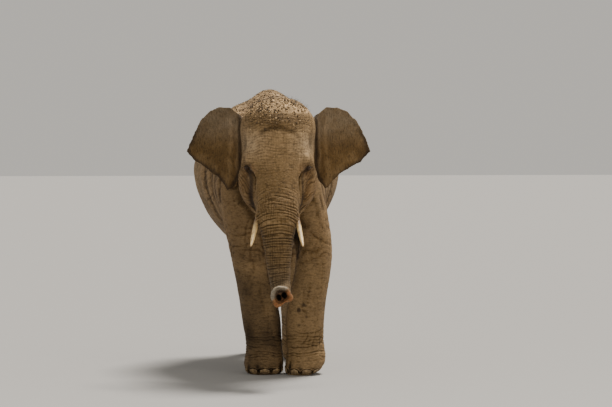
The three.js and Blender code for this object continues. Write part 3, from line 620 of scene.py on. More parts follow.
def wrinkles(mesh):
    """The height of every wrinkle of the skin, below zero in its bottom."""
    points = points_of(mesh)
    normals = normals_of(mesh)
    across, _, up = head_coordinates(points).T
    off_middle = np.abs(across)
    facing = normals @ np.array(AHEAD)
    mask = {name: stored(mesh, name) for name in REGIONS}
    _, y, z = points.T
    sideways = np.abs(normals[:, 0])
    height = np.zeros(len(points))

    # trunk, from between the eyes to the tip
    nose = mask["skull"] * smoothstep(0.25, 0.12, off_middle)
    reach = np.clip(mask["trunk"] + mask["tip"] * 0.6 + nose, 0, 1)
    reach *= smoothstep(-0.02, -0.34, up) * smoothstep(-0.30, 0.15, facing + mask["trunk"])
    add(height, reach, points, trunk_wrinkles)

    # forehead
    brow = mask["skull"] * smoothstep(-0.10, 0.04, up) * smoothstep(0.52, 0.40, up)
    brow = brow * smoothstep(0.1, 0.6, facing)
    add(height, brow, points, lambda chosen: -0.0026 * creases(
        chosen[:, 2] / 0.022 + 6 * (head_coordinates(chosen)[:, 0]) ** 2,
        chosen, 0.030, 41, wobble=1.0, width=0.20)
        - 0.0016 * creases(chosen[:, 0] / 0.022, chosen, 0.025, 43, wobble=1.0, width=0.20))

    # rings round each eye
    for eye in (LEFT_EYE, RIGHT_EYE):
        away = np.linalg.norm((points - np.array(eye)) * EYE_OVAL, axis=1)
        ring = smoothstep(0.045, 0.062, away) * smoothstep(0.150, 0.075, away) * mask["skull"]
        add(height, ring, points, lambda chosen, eye=eye: -0.0019 * creases(
            np.linalg.norm((chosen - np.array(eye)) * EYE_OVAL, axis=1) / 0.0135,
            chosen, 0.02, 45, wobble=1.5))

    # cheeks, jaw and lip
    below_eye = mask["skull"] * smoothstep(0.0, -0.10, up) * smoothstep(0.16, 0.24, off_middle)
    cheek = np.clip(mask["jaw"] + below_eye, 0, 1)
    add(height, cheek, points, lambda chosen: -0.0040 * creases(
        (chosen[:, 2] * 0.80 - chosen[:, 1] * 0.60) / 0.026, chosen, 0.03, 51, wobble=1.6, width=0.19))
    temple = mask["skull"] * smoothstep(0.25, 0.05, facing) * smoothstep(-0.1, 0.05, up)
    add(height, temple, points, lambda chosen: -0.0018 * creases(
        (chosen[:, 1] * 0.9 + chosen[:, 2] * 0.44) / 0.040, chosen, 0.04, 55, wobble=1.9))

    # neck and shoulder: upright folds
    neck = mask["torso"] * smoothstep(-0.25, -0.45, y) * smoothstep(-0.80, -0.70, y)
    add(height, neck, points, lambda chosen: -0.0070 * creases(
        (chosen[:, 1] + 0.25 * chosen[:, 2]) / 0.075, chosen, 0.07, 61, wobble=0.9, width=0.22))
    shoulder = (mask["torso"] + mask["thigh"]) * sideways
    shoulder = shoulder * smoothstep(-0.42, -0.25, y) * smoothstep(0.38, 0.12, y)
    shoulder *= 1 - 0.6 * mask["thigh"]
    add(height, shoulder, points, lambda chosen: -0.0042 * creases(
        (chosen[:, 1] + 0.06 * chosen[:, 2]) / 0.055, chosen, 0.05, 65, wobble=1.2, width=0.20))

    # barrel and rump: a loose net
    net = mask["torso"] * smoothstep(0.05, 0.35, y)
    add(height, net, points, lambda chosen: -0.0026 * creases(
        (chosen[:, 1] + 0.30 * chosen[:, 2]) / 0.058, chosen, 0.05, 71, wobble=1.3, width=0.18)
        - 0.0020 * creases((chosen[:, 2] - 0.35 * chosen[:, 1]) / 0.062,
                           chosen, 0.05, 75, wobble=1.4, width=0.18))

    # legs: slanting net above, level rings at the wrist, ankle and heel
    add(height, mask["thigh"], points, lambda chosen: -0.0050 * creases(
        (chosen[:, 2] + 0.45 * chosen[:, 1]) / 0.052, chosen, 0.05, 81, wobble=1.6, width=0.18)
        - 0.0034 * creases((chosen[:, 0] + chosen[:, 1]) / 0.045, chosen, 0.05, 85, wobble=1.8, width=0.18))
    add(height, mask["shank"], points, lambda chosen: -0.0036 * creases(
        chosen[:, 2] / 0.034, chosen, 0.04, 91, wobble=1.3, width=0.19)
        - 0.0024 * creases((chosen[:, 0] + chosen[:, 1]) / 0.040, chosen, 0.04, 93, wobble=1.6, width=0.19))
    wrist = np.clip(mask["shank"] + mask["thigh"], 0, 1) * bell(z - 0.60, 0.13)
    wrist = wrist * smoothstep(-0.1, 0.35, -normals[:, 1])
    add(height, wrist, points, lambda chosen: -0.0030 * creases(
        chosen[:, 2] / 0.034, chosen, 0.04, 95, wobble=1.2, width=0.20))
    ankle = (mask["shank"] + mask["foot"]) * smoothstep(0.105, 0.15, z) * smoothstep(0.40, 0.30, z)
    add(height, ankle, points, lambda chosen: -0.0062 * creases(
        chosen[:, 2] / 0.0235, chosen, 0.035, 101, wobble=1.15, width=0.21))
    toe = mask["foot"] * smoothstep(0.070, 0.10, z) * smoothstep(0.17, 0.12, z)
    add(height, toe, points, lambda chosen: -0.0022 * creases(
        chosen[:, 2] / 0.018, chosen, 0.03, 105, wobble=1.4, width=0.2))

    # ears: a fine net, kept shallow because the sheet is thin
    add(height, mask["ear"], points, lambda chosen: -0.0016 * creases(
        (chosen[:, 0] * 0.95 + 0.3 * chosen[:, 2]) / 0.024, chosen, 0.03, 111, wobble=1.4)
        - 0.0011 * creases((chosen[:, 0] * 0.3 - chosen[:, 2]) / 0.034, chosen, 0.03, 115, wobble=2.0))

    # tail: rings
    add(height, mask["tail"], points, lambda chosen: -0.0018 * creases(
        chosen[:, 2] / 0.030, chosen, 0.03, 121, wobble=0.8, width=0.2))
    return height


# ---------------------------------------------------------------- lids and the trunk's end

def eye_axes(side):
    """Outwards, forwards along the lids, and up, for the left eye, +1, or the right, -1."""
    outward = (ACROSS * 0.66 * side + AHEAD * 0.74 - Vector((0, 0, 0.12))).normalized()
    forward = (AHEAD - outward * AHEAD.dot(outward)).normalized()
    forward = (forward - Vector((0, 0, 0.20))).normalized()      # the front corner hangs lower
    forward = (forward - outward * forward.dot(outward)).normalized()
    upward = outward.cross(forward)
    if upward.z < 0:
        upward = -upward
    return np.array(outward), np.array(forward), np.array(upward)


EYE_OPENING = (0.0205, 0.0125, 0.0105)   # half its length, and how far it reaches up and down
LID = 0.0030                             # thickness of a lid over the eyeball
LID_TUCK = 0.0045                        # how far inside the eyeball the skin runs within the opening
# Folds round the lids: how far out each is, in openings, how far it stands out, and its width.
LID_FOLDS = ((1.50, -0.0026, 0.13), (1.80, 0.0022, 0.17), (2.15, -0.0024, 0.14), (2.55, 0.0016, 0.22),
             (3.00, -0.0016, 0.18))


def almond(f, u, length, above, below):
    """1 on the outline of an almond with pointed ends, less inside it and more outside."""
    tall = np.where(u > 0, above, below)
    return (np.abs(f / length) ** 1.5 + np.abs(u / tall) ** 1.5) ** (2 / 3)


def shape_lids(mesh, eye, side):
    """Draws the skin on to the eyeball as two lids with folds round them, open in an almond."""
    points = points_of(mesh)
    centre = np.array(eye)
    near = np.nonzero(np.linalg.norm(points - centre, axis=1) < 0.090)[0]
    local = points[near] - centre
    length = np.linalg.norm(local, axis=1)
    outward, forward, upward = eye_axes(side)
    f, u, o = local @ forward, local @ upward, local @ outward
    direction = local / length[:, None]
    on_lid = direction * (EYE_RADIUS + LID)
    opening = almond(on_lid @ forward, on_lid @ upward, *EYE_OPENING)
    opening = np.where(o > 0, opening, 9.0)
    ring = almond(f, u, 0.022, 0.0160, 0.0140)
    uneven = 0.75 + 0.45 * noise(points[near], 0.020, 151)
    fold = 0.0022 * bell(opening - 1.16, 0.15)
    fold += sum(depth * bell(ring - place - 0.20 * noise(points[near], 0.030, 153), width)
                for place, depth, width in LID_FOLDS) * uneven
    inner = smoothstep(1.0, 0.90, opening)
    reach = (EYE_RADIUS + LID + fold) * (1 - inner) + (EYE_RADIUS - LID_TUCK) * inner
    hold = smoothstep(0.036, 0.021, np.hypot(f, u)) * (o > 0)
    outside = (1 - hold) * smoothstep(3.6, 2.4, ring) * (o > -0.01)
    move = direction * (reach - length)[:, None] * hold[:, None] + outward * (fold * outside)[:, None]
    points[near] += move
    set_points(mesh, points)
    wet = np.zeros(len(points))
    wet[near] = smoothstep(1.50, 1.05, opening) * (o > 0)
    return wet


NOSTRIL_SPREAD = 0.045                # between the middles of the nostrils
NOSTRIL_SIZE = 0.022
NOSTRIL_DEPTH = 0.040
DISH_DEPTH = 0.022                    # of the hollow that both nostrils open into
TIP_ROLL = math.radians(-25)          # how far the trunk's end is rolled
# The end's outline is pulled out or in: direction in degrees from across, how far, over how many degrees.
TIP_OUTLINE = ((-10, 0.012, 22), (-112, 0.012, 24), (-60, -0.008, 24), (125, 0.006, 40), (20, -0.006, 20))


def trunk_end():
    """The middle of the trunk's end, and its directions: out, across and up, rolled with the nostrils."""
    low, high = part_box("trunk_tip")
    up = Vector((0, 0, 1))
    across = ACROSS * math.cos(TIP_ROLL) - up * math.sin(TIP_ROLL)
    upward = ACROSS * math.sin(TIP_ROLL) + up * math.cos(TIP_ROLL)
    return (low + high) / 2, AHEAD, across, upward


def tip_places(points):
    """Out, across and up of points from the trunk's end, level with the ground."""
    away = points - np.array(trunk_end()[0])
    return away @ np.array(AHEAD), away @ np.array(ACROSS), away[:, 2]


def shape_trunk_end(mesh):
    """The thick finger above, the thin lip below, a deep dish and two nostrils with a wall between them."""
    points = points_of(mesh)
    o, a, u = tip_places(points)
    mask = np.clip(stored(mesh, "tip") + stored(mesh, "trunk") * smoothstep(-0.06, 0.0, o), 0, 1)
    radius = np.hypot(a, u)
    turn = np.degrees(np.arctan2(u, a))
    outline = np.zeros(len(points))
    for direction, reach, width in TIP_OUTLINE:
        off = (turn - direction + 180) % 360 - 180
        outline += reach * bell(off, width)
    near = smoothstep(-0.075, 0.0, o) * mask * smoothstep(0.035, 0.070, radius)
    sideways = np.column_stack([a, u]) / (radius + 1e-6)[:, None]
    move = np.outer(sideways[:, 0], np.array(ACROSS)) + np.outer(sideways[:, 1], UP)
    move *= (outline * near)[:, None]
    end = smoothstep(-0.02, 0.02, o) * mask
    rim = bell(radius - 0.072, 0.018) * end
    finger = rim * smoothstep(0.2, 0.9, sideways[:, 1] * 0.85 - sideways[:, 0] * 0.45)
    move += np.outer(finger * 0.026 + rim * 0.006, np.array(AHEAD))
    move += np.outer(finger * (0.006 + 0.006 * noise(points, 0.026, 183)), UP)
    dish = smoothstep(0.064, 0.030, radius) * end
    move += np.outer(-DISH_DEPTH * dish, np.array(AHEAD))
    within = np.maximum(end, smoothstep(-0.110, -0.070, o) * mask * smoothstep(0.056, 0.046, radius))
    across, upward = (np.array(v) for v in trunk_end()[2:])
    away = points - np.array(trunk_end()[0])
    along, above = away @ across, away @ upward
    funnels = np.zeros(len(points))
    for side in (-1, 1):
        hole = np.hypot(along - side * NOSTRIL_SPREAD / 2, (above + 0.004) * 0.80)
        hole += 0.0035 * noise(points, 0.020, 181)
        funnels += smoothstep(NOSTRIL_SIZE * 1.15, NOSTRIL_SIZE * 0.40, hole) * within
    move += np.outer(-NOSTRIL_DEPTH * np.clip(funnels, 0, 1), np.array(AHEAD))
    set_points(mesh, points + move)
    return end, np.clip(0.45 * dish + funnels, 0, 1)


# ---------------------------------------------------------------- feet

def nail_places():
    """For each nail: name, middle, outward and sideways directions, and half its width and height."""
    found = []
    for node in NAILS:
        foot = middle("foot_" + node[len("nail_"):-2])
        points = points_of(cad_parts[node].data)
        low, high = points.min(axis=0), points.max(axis=0)
        centre = points.mean(axis=0)
        outward = np.array((centre[0] - foot.x, centre[1] - foot.y, 0.0))
        outward /= np.linalg.norm(outward)
        sideways = np.array((-outward[1], outward[0], 0.0))
        half = np.abs((points - centre) @ sideways).max()
        found.append((node, centre, outward, sideways, half, (high[2] - low[2]) / 2))
    return found


NAIL_SINK = 0.0110                    # how far the skin lies behind a nail
NAIL_ROLL = 0.0055                    # how far it stands out round a nail
CLEFT_DEPTH = 0.0090                  # of the clefts between the toes


def toes(mesh):
    """Sinks the skin behind each nail, rolls it up round the nail, and parts the toes with upright clefts."""
    points = points_of(mesh)
    low = points[:, 2] < 0.24
    chosen = np.nonzero(low)[0]
    spots = points[chosen]
    height = np.zeros(len(spots))
    gap = np.zeros(len(spots))
    places = nail_places()
    for _, centre, outward, sideways, half, tall in places:
        away = spots - centre
        near = (np.linalg.norm(away, axis=1) < 0.16) & (away @ outward > -0.06)
        oval = np.sqrt((away @ sideways / half) ** 2 + (away[:, 2] / tall) ** 2)
        height -= near * NAIL_SINK * smoothstep(1.20, 1.04, oval)
        height += near * NAIL_ROLL * bell(oval - 1.38, 0.15) * smoothstep(-0.5, 0.4, away[:, 2] / tall)
    for (name, a, *_), (next_name, b, *_) in zip(places, places[1:]):
        if name[:-2] != next_name[:-2]:
            continue
        between = (a + b) / 2
        flat = np.linalg.norm((spots - between)[:, :2], axis=1)
        along = smoothstep(0.135, 0.060, spots[:, 2]) * smoothstep(0.0, 0.012, spots[:, 2])
        cleft = bell(flat, 0.016) * along
        height -= CLEFT_DEPTH * cleft
        gap = np.maximum(gap, bell(flat, 0.020) * along)
    full = np.zeros(len(points))
    full[chosen] = height
    cleft_mark = np.zeros(len(points))
    cleft_mark[chosen] = gap
    return full, cleft_mark


# ---------------------------------------------------------------- the skin

VOXEL = 0.008
SKIN_TRIANGLES = 196000
HEAD_TRIANGLES = 92000                # of them, on the skull, jaw and trunk
TUSK_EXIT = (0.170, 0.240, -0.442)    # where the left tusk leaves the lip: across, ahead, up
TUSK_COURSE = (0.032, 0.104, -0.128)  # and the way it runs there


def tusk_exit(side):
    """The place and direction in which a tusk leaves the lip."""
    across, ahead, up = TUSK_EXIT
    course = ACROSS * TUSK_COURSE[0] * side + AHEAD * TUSK_COURSE[1] + Vector((0, 0, TUSK_COURSE[2]))
    return head_place(across * side, ahead, up), course.normalized()


def tusk_roots():
    """Copies of the tusks cut off where they leave the lip, which fill their sockets in the skin."""
    pieces = []
    for node, side in (("tusk_left", 1), ("tusk_right", -1)):
        piece = joined_copy("root", [node])
        place, course = tusk_exit(side)
        work = bmesh.new()
        work.from_mesh(piece.data)
        whole = work.verts[:] + work.edges[:] + work.faces[:]
        cut = bmesh.ops.bisect_plane(work, geom=whole, plane_co=place, plane_no=course, clear_outer=True)
        rim = [item for item in cut["geom_cut"] if isinstance(item, bmesh.types.BMEdge)]
        bmesh.ops.edgeloop_fill(work, edges=rim)
        bmesh.ops.recalc_face_normals(work, faces=work.faces)
        work.to_mesh(piece.data)
        work.free()
        pieces.append(piece)
    return pieces


EAR_PLUG = (0.292, -0.315, 0.130)     # inside the left ear's root
EAR_PLUG_SIZE = (0.030, 0.040, 0.150)


def ear_plugs():
    """Small solids inside the ears' roots, which close the thin gap between each ear and the skull."""
    pieces = []
    across, ahead, up = EAR_PLUG
    for side in (1, -1):
        work = bmesh.new()
        ball = bmesh.ops.create_icosphere(work, subdivisions=3, radius=1.0)
        bmesh.ops.scale(work, vec=EAR_PLUG_SIZE, verts=ball["verts"])
        bmesh.ops.translate(work, vec=head_place(across * side, ahead, up), verts=ball["verts"])
        mesh = bpy.data.meshes.new("plug")
        work.to_mesh(mesh)
        work.free()
        pieces.append(new_object("plug", mesh))
    return pieces


def with_pieces(skin, pieces):
    """Adds the meshes of some pieces to the skin's and removes them."""
    work = bmesh.new()
    work.from_mesh(skin.data)
    for piece in pieces:
        work.from_mesh(piece.data)
        discard(piece)
    work.to_mesh(skin.data)
    work.free()


def push(mesh, height):
    """Moves each point out along its normal."""
    set_points(mesh, points_of(mesh) + normals_of(mesh) * height[:, None])


def collars(points):
    """The swollen lip round each tusk, with a fold behind it."""
    height = np.zeros(len(points))
    for side in (1, -1):
        place, course = tusk_exit(side)
        away = points - np.array(place)
        along = away @ np.array(course)
        radius = np.linalg.norm(away - np.outer(along, np.array(course)), axis=1)
        ring = smoothstep(0.075, 0.035, radius)
        height += ring * (0.006 * bell(along + 0.004, 0.014) - 0.005 * bell(along + 0.034, 0.010)
                          + 0.003 * bell(along + 0.060, 0.014))
    return height


def near_eyes(points, reach):
    """Which points lie within reach of either eye."""
    left = np.linalg.norm(points - np.array(LEFT_EYE), axis=1)
    right = np.linalg.norm(points - np.array(RIGHT_EYE), axis=1)
    return np.minimum(left, right) < reach


def refine_face_and_feet(mesh):
    """Halves the mesh's edges on the face, trunk and feet, and again at the eyes and the trunk's end."""
    points = points_of(mesh)
    facing = normals_of(mesh) @ np.array(AHEAD)
    face = (stored(mesh, "skull") * smoothstep(-0.45, -0.10, facing) + stored(mesh, "jaw") * 0.9
            + stored(mesh, "trunk") + stored(mesh, "tip"))
    low = (stored(mesh, "foot") + stored(mesh, "shank")) * smoothstep(0.42, 0.36, points[:, 2])
    refine(mesh, (face > 0.4) | (low > 0.5))
    points = points_of(mesh)
    refine(mesh, near_eyes(points, 0.080) | (stored(mesh, "tip") > 0.5))
    refine(mesh, near_eyes(points_of(mesh), 0.048))


def triangles_of(mesh):
    mesh.calc_loop_triangles()
    return len(mesh.loop_triangles)


def thin_out(skin):
    """Takes the skin down to its budget, the head and the rest in a pass each."""
    for head_pass, budget in ((True, HEAD_TRIANGLES), (False, SKIN_TRIANGLES - HEAD_TRIANGLES)):
        mesh = skin.data
        head = sum(stored(mesh, name) for name in ("skull", "jaw", "trunk", "tip")) > 0.5
        chosen = head if head_pass else ~head
        total = triangles_of(mesh)
        corners = np.empty(total * 3, np.int32)
        mesh.loop_triangles.foreach_get("vertices", corners)
        now = chosen[corners.reshape(-1, 3)].all(axis=1).sum()
        group = skin.vertex_groups.new(name="thinned")
        group.add(np.nonzero(chosen)[0].tolist(), 1.0, "REPLACE")
        with_modifier(skin, "DECIMATE", ratio=(total - now + budget) / total, vertex_group="thinned")
        skin.vertex_groups.clear()


def make_skin(depth=1.0):
    """The whole hide in one closed mesh, with a mask for each of its looks."""
    skin = joined_copy("skin", FLESH + ["eye_left", "eye_right"])
    with_pieces(skin, tusk_roots() + ear_plugs())
    with_modifier(skin, "REMESH", mode="VOXEL", voxel_size=VOXEL)
    mesh = skin.data
    mark_regions(mesh)
    even_out(mesh)
    push(mesh, head_forms(mesh))
    eye_hollows(mesh)
    push(mesh, body_forms(mesh))
    ear_forms(mesh)
    refine_face_and_feet(mesh)
    push(mesh, spread(collars(points_of(mesh)), edges_of(mesh), 2, 0.5))
    toe_height, clefts = toes(mesh)
    push(mesh, toe_height)
    tip, inside = shape_trunk_end(mesh)
    wet = sum(shape_lids(mesh, eye, side) for eye, side in ((LEFT_EYE, 1), (RIGHT_EYE, -1)))
    push(mesh, spread(wrinkles(mesh) * depth, edges_of(mesh), 2, 0.5))
    store(mesh, "end", tip)
    store(mesh, "hollow", inside)
    store(mesh, "wet", wet)
    store(mesh, "cleft", clefts)
    thin_out(skin)
    return skin


# ---------------------------------------------------------------- shader helpers

def new_material(name):
    material = bpy.data.materials.new(name)
    material.use_nodes = True
    tree = material.node_tree
    return material, tree, tree.nodes["Principled BSDF"]


def add_node(tree, kind, inputs=None, **settings):
    """A shader node with its settings made and its inputs set to numbers or joined to other nodes."""
    node = tree.nodes.new(kind)
    for key, value in settings.items():
        setattr(node, key, value)
    for key, value in (inputs or {}).items():
        if isinstance(value, bpy.types.NodeSocket):
            tree.links.new(value, node.inputs[key])
        else:
            node.inputs[key].default_value = value
    return node


def object_places(tree, scale=(1, 1, 1)):
    """Object coordinates, stretched."""
    place = add_node(tree, "ShaderNodeTexCoord").outputs["Object"]
    return add_node(tree, "ShaderNodeMapping", {"Vector": place, "Scale": scale}).outputs["Vector"]


def mottle(tree, places, size, detail=4.0, roughness=0.55):
    """Cloudy noise from 0 to 1 with lumps about size metres across."""
    inputs = {"Vector": places, "Scale": 1 / size, "Detail": detail, "Roughness": roughness}
    return add_node(tree, "ShaderNodeTexNoise", inputs).outputs["Fac"]


def cracks(tree, places, size):
    """Distance from the joints between cells of about size metres, as a part of a cell."""
    inputs = {"Vector": places, "Scale": 1 / size, "Randomness": 1.0}
    return add_node(tree, "ShaderNodeTexVoronoi", inputs, feature="DISTANCE_TO_EDGE").outputs["Distance"]


def step_between(tree, value, low, high):
    """0 below low, 1 above high, smooth in between."""
    inputs = {"Value": value, "From Min": low, "From Max": high}
    return add_node(tree, "ShaderNodeMapRange", inputs, interpolation_type="SMOOTHSTEP").outputs["Result"]


def maths(tree, operation, a, b=0.0, clamp=False):
    return add_node(tree, "ShaderNodeMath", {0: a, 1: b}, operation=operation, use_clamp=clamp).outputs[0]


def times(tree, a, b):
    return maths(tree, "MULTIPLY", a, b)


def rest_of(tree, value):
    """1 less a value."""
    return maths(tree, "SUBTRACT", 1.0, value)


def mixed(tree, factor, a, b, blend="MIX"):
    """Two colours mixed."""
    inputs = {0: factor, 6: a, 7: b}
    return add_node(tree, "ShaderNodeMix", inputs, data_type="RGBA", blend_type=blend).outputs[2]


def mark(tree, name):
    """A number kept on the mesh's points."""
    return add_node(tree, "ShaderNodeAttribute", attribute_name=name).outputs["Fac"]


def bump(tree, height, distance, strength=1.0, under=None):
    inputs = {"Height": height, "Distance": distance, "Strength": strength}
    if under is not None:
        inputs["Normal"] = under
    return add_node(tree, "ShaderNodeBump", inputs).outputs["Normal"]


def opaque(colour):
    return tuple(colour) + (1.0,)


# ---------------------------------------------------------------- the hide's looks

# Painted shade on the inner side of the left foreleg.
INNER_SHADE = (0.070, 0.052)          # the dark inner side of the left foreleg: x, and half width
# Dark spots on the left foreleg: x, z and size.
LEG_SPOTS = ((0.166, 0.557, 0.017), (0.207, 0.603, 0.012), (0.170, 0.430, 0.009), (0.236, 0.500, 0.008))
# The shade beside the trunk's root: side of the head, how far towards the cheek, width and strength.
TEAR_SHADE = ((1, 0.004, 0.013, 0.80), (-1, 0.014, 0.031, 1.10))


def tear_shade(points, tree):
    """The shade in the groove between the trunk's root and each cheek."""
    shade = np.zeros(len(points))
    for sign, shift, width, strength in TEAR_SHADE:
        shaded = [(sign * (a + shift), u) for a, u in TEAR_LINE]
        distance, along = path_distance(points, face_line(tree, shaded))
        shade += strength * bell(distance, width) * smoothstep(1.0, 0.85, along)
    return shade


def socket_shade(points):
    """The shade at the front corner of each eye and round its lids."""
    shade = np.zeros(len(points))
    for eye, sign in ((LEFT_EYE, 1), (RIGHT_EYE, -1)):
        corner = np.array(eye + AHEAD * 0.022 - ACROSS * 0.012 * sign - Vector((0, 0, 0.010)))
        away = points - corner
        slant = away @ np.array(ACROSS) * sign - away[:, 2]
        shade += bell(np.linalg.norm(away, axis=1) - 0.35 * np.abs(slant), 0.020)
        shade += 0.35 * bell(np.linalg.norm((points - np.array(eye)) * (1, 1, 1.3), axis=1) - 0.024, 0.011)
    return shade


def eye_corners(points):
    """Bare skin at the front corner of each eye."""
    return sum(bell(np.linalg.norm(points - np.array(eye) - np.array(AHEAD) * 0.017
                                   + np.array((0, 0, 0.006)), axis=1), 0.010)
               for eye in (LEFT_EYE, RIGHT_EYE))


def paint_marks(mesh):
    """Stores where the hide is dusty, rusty, dark, pink or grey, and where shade and highlights are painted
    on it, from the body's own places.
    """
    points = points_of(mesh)
    normals = normals_of(mesh)
    edges = edges_of(mesh)
    across, ahead, up = head_coordinates(points).T
    side = np.abs(across)
    z = points[:, 2]
    facing = normals @ np.array(AHEAD)
    mask = {name: stored(mesh, name) for name in REGIONS}
    ear, skull, torso = mask["ear"], mask["skull"], mask["torso"]

    # Painted shade in the creases: points that lie below their evened-out neighbours are darkened, the more
    # the deeper they lie.
    even = spread(points, edges, 10, 0.6)
    hollow = ((even - points) * normals).sum(axis=1)
    deep = 0.0022 + 0.0040 * torso + 0.0014 * mask["thigh"]
    store(mesh, "crease_shade", np.clip(hollow / deep, 0, 1) * (1 - 0.80 * ear))
    store(mesh, "ridge", np.clip(-hollow / 0.0026, 0, 1) * (1 - 0.6 * ear))

    temple = bell(np.hypot(side - 0.235, up - 0.200), 0.110)
    forehead = smoothstep(-0.05, 0.08, up) * smoothstep(0.34, 0.26, up) * smoothstep(0.33, 0.15, side)
    upward = smoothstep(0.35, 0.92, normals[:, 2])
    dust_and_highlight = skull * (0.46 * temple + 0.27 * forehead)
    # Dust, and a painted highlight: the upward faces of the crown and back, and most of all the crown's top
    # band with its ragged lower edge, are paler where light falls on them.
    dust_and_highlight = dust_and_highlight + upward * (0.8 * skull * smoothstep(0.25, 0.45, up) + 0.26 * torso)
    dust_and_highlight += skull * smoothstep(0.43, 0.50, up + 0.03 * noise(points, 0.035, 173))
    dust_and_highlight += 0.16 * ear * smoothstep(0.10, 0.34, up)
    dust_and_highlight += 0.35 * mask["foot"] * smoothstep(0.10, 0.0, z)
    store(mesh, "dust_and_highlight", np.clip(dust_and_highlight, 0, 1))

    _, out, ear_up, rim, _ = ear_places(points)
    root = smoothstep(0.46, 0.33, out)
    rust = ear * (0.14 + 0.10 * root) + mask["jaw"] * 0.12
    rust += skull * (0.5 * smoothstep(-0.04, -0.14, up) * smoothstep(0.17, 0.25, side))
    rust += skull * 0.6 * smoothstep(0.09, 0.03, np.hypot(side - 0.235, up + 0.02))
    rust += 0.25 * torso * smoothstep(1.5, 1.1, z) + 0.20 * mask["thigh"]
    rust += 0.75 * torso * upward * smoothstep(0.45, 0.05, points[:, 1])
    store(mesh, "rust", np.clip(rust, 0, 1))

    ear_edge = smoothstep(0.026, 0.006, rim) * ear * (0.45 + 0.55 * smoothstep(0.40, 0.25, ear_up))
    # Painted shadow in the gap between each ear's root and the skull.
    ear_gap = bell(out - 0.322, 0.022) * np.clip(ear + 0.6 * skull, 0, 1) * smoothstep(-0.14, -0.21, ahead)
    # The trunk is made darker towards its lower end.
    lower_trunk_dark = mask["trunk"] * 0.38 * smoothstep(-0.25, -0.65, up)
    head = skull + mask["trunk"] + mask["jaw"]
    tree = skin_tree(mesh)
    # Painted shadow in the ear gap and painted shade beside the trunk's root, added to the dark ear rims and
    # the darker lower trunk.
    shade = 0.9 * ear_edge + ear_gap + lower_trunk_dark + tear_shade(points, tree) * np.clip(head, 0, 1)
    # Painted shade in the clefts between the toes, and round the eyes' lids and front corners.
    shade += 0.85 * stored(mesh, "cleft") + 1.1 * socket_shade(points) * skull
    shade += 0.35 * bell(side, 0.2) * skull * bell(up - 0.44, 0.05) * smoothstep(0.1, 0.5, facing)
    # Painted shade on the lower forelegs, strongest on the right one, and on the lower shanks and the feet.
    fore = (points[:, 1] < 0.2) * np.clip(mask["shank"] + mask["thigh"] + mask["foot"], 0, 1)
    damp_and_shade = smoothstep(1.20, 0.70, z) * (0.35 + 0.65 * smoothstep(0.10, 0.36, z))
    damp_and_shade *= 0.85 + 0.3 * noise(points, 0.09, 175)
    right_leg = smoothstep(0.06, 0.02, points[:, 0])
    shade += fore * damp_and_shade * (0.56 * right_leg + 0.24)
    shade += (0.08 + 0.26 * right_leg) * (mask["shank"] * smoothstep(0.50, 0.25, z) + mask["foot"])
    # Painted shade high on the inner side of the left foreleg.
    inner = mask["thigh"] * (points[:, 1] < 0) * bell(points[:, 0] - INNER_SHADE[0], INNER_SHADE[1])
    shade += inner * smoothstep(0.60, 0.80, z) * smoothstep(1.50, 1.30, z)
    # Painted shade in the carved hollow between the chest and the left foreleg.
    shade += 0.95 * armpit(mesh)
    for spot_x, spot_z, size in LEG_SPOTS:
        flat = np.hypot(points[:, 0] - spot_x, (z - spot_z) * 0.7)
        shade += fore * smoothstep(size * 1.15, size * 0.7, flat) * smoothstep(0.2, -0.2, normals[:, 1])
    # Painted shade on the front of the chest and the tops of the forelegs, more on the right side.
    front = (torso + mask["thigh"]) * smoothstep(-0.10, -0.30, points[:, 1]) * smoothstep(1.85, 1.60, z)
    shade += 0.36 * front * smoothstep(0.0, 0.5, facing) * (0.9 - 0.5 * smoothstep(0.05, 0.20, points[:, 0]))
    # Painted shade on the right cheek.
    shade += 0.24 * skull * (across < 0) * bell(side - 0.265, 0.060) * bell(up + 0.20, 0.120)
    # Painted shadow along the arch over the trunk's root.
    arch_far, _ = path_distance(points, face_line(tree, ROOT_ARCH))
    shade += skull * bell(arch_far, 0.017) * (0.24 + 0.22 * noise(points, 0.05, 171))
    nostrils = stored(mesh, "hollow")
    # Painted shade on every downward face and inside the nostrils.
    shade += 0.25 * smoothstep(0.0, -0.8, normals[:, 2]) + 0.72 * smoothstep(0.0, 0.45, nostrils)
    shade = np.clip(shade, 0, 1)
    # The dark mark: painted shade, with the dark ear rims, the leg spots, the darker band across the crown
    # and the darker lower trunk.
    store(mesh, "dark", shade)
    # Where the pale flecks are left out: painted shade and the ears.
    store(mesh, "unflecked", np.maximum(shade, 0.75 * ear))

    end_out, end_across, end_up = tip_places(points)
    lower = end_up * 0.80 - end_across * 0.60
    low_lip = smoothstep(0.030, -0.005, lower) * stored(mesh, "end")
    lip = mask["jaw"] * smoothstep(-0.43, -0.49, up) * smoothstep(0.0, 0.06, ahead)
    low_lip = np.maximum(low_lip, 0.75 * bell(nostrils - 0.40, 0.25))
    store(mesh, "pink", np.clip(0.75 * low_lip + 0.9 * eye_corners(points) + 0.12 * lip, 0, 1))

    # Pale grey on the top of the trunk's finger, partly a painted highlight where the sky lights it.
    # Elsewhere this is grey hide.
    finger = smoothstep(0.004, 0.036, lower) * smoothstep(-0.070, -0.022, end_out) * mask["tip"]
    finger *= 1 - nostrils
    grey_and_highlight = 0.95 * finger + skull * 0.26 * temple + 0.30 * ear * smoothstep(0.14, 0.40, up)
    grey_and_highlight += 0.16 * mask["trunk"] * smoothstep(-0.70, -0.95, up)
    behind = smoothstep(-0.30, 0.40, points[:, 1])
    grey_and_highlight += 0.12 * np.clip(torso + mask["thigh"] + mask["shank"], 0, 1) * behind
    store(mesh, "grey_and_highlight", np.clip(grey_and_highlight, 0, 1))


WIDE_CRACKS = 0.034                   # size of the cells between the hide's wide cracks
NARROW_CRACKS = 0.011
CRACK_WANDER = 0.022                  # how far the cracks are bent out of line
# Painted shade inside the nostrils.
NOSTRIL_SHADE = (0.006, 0.003, 0.002, 1)


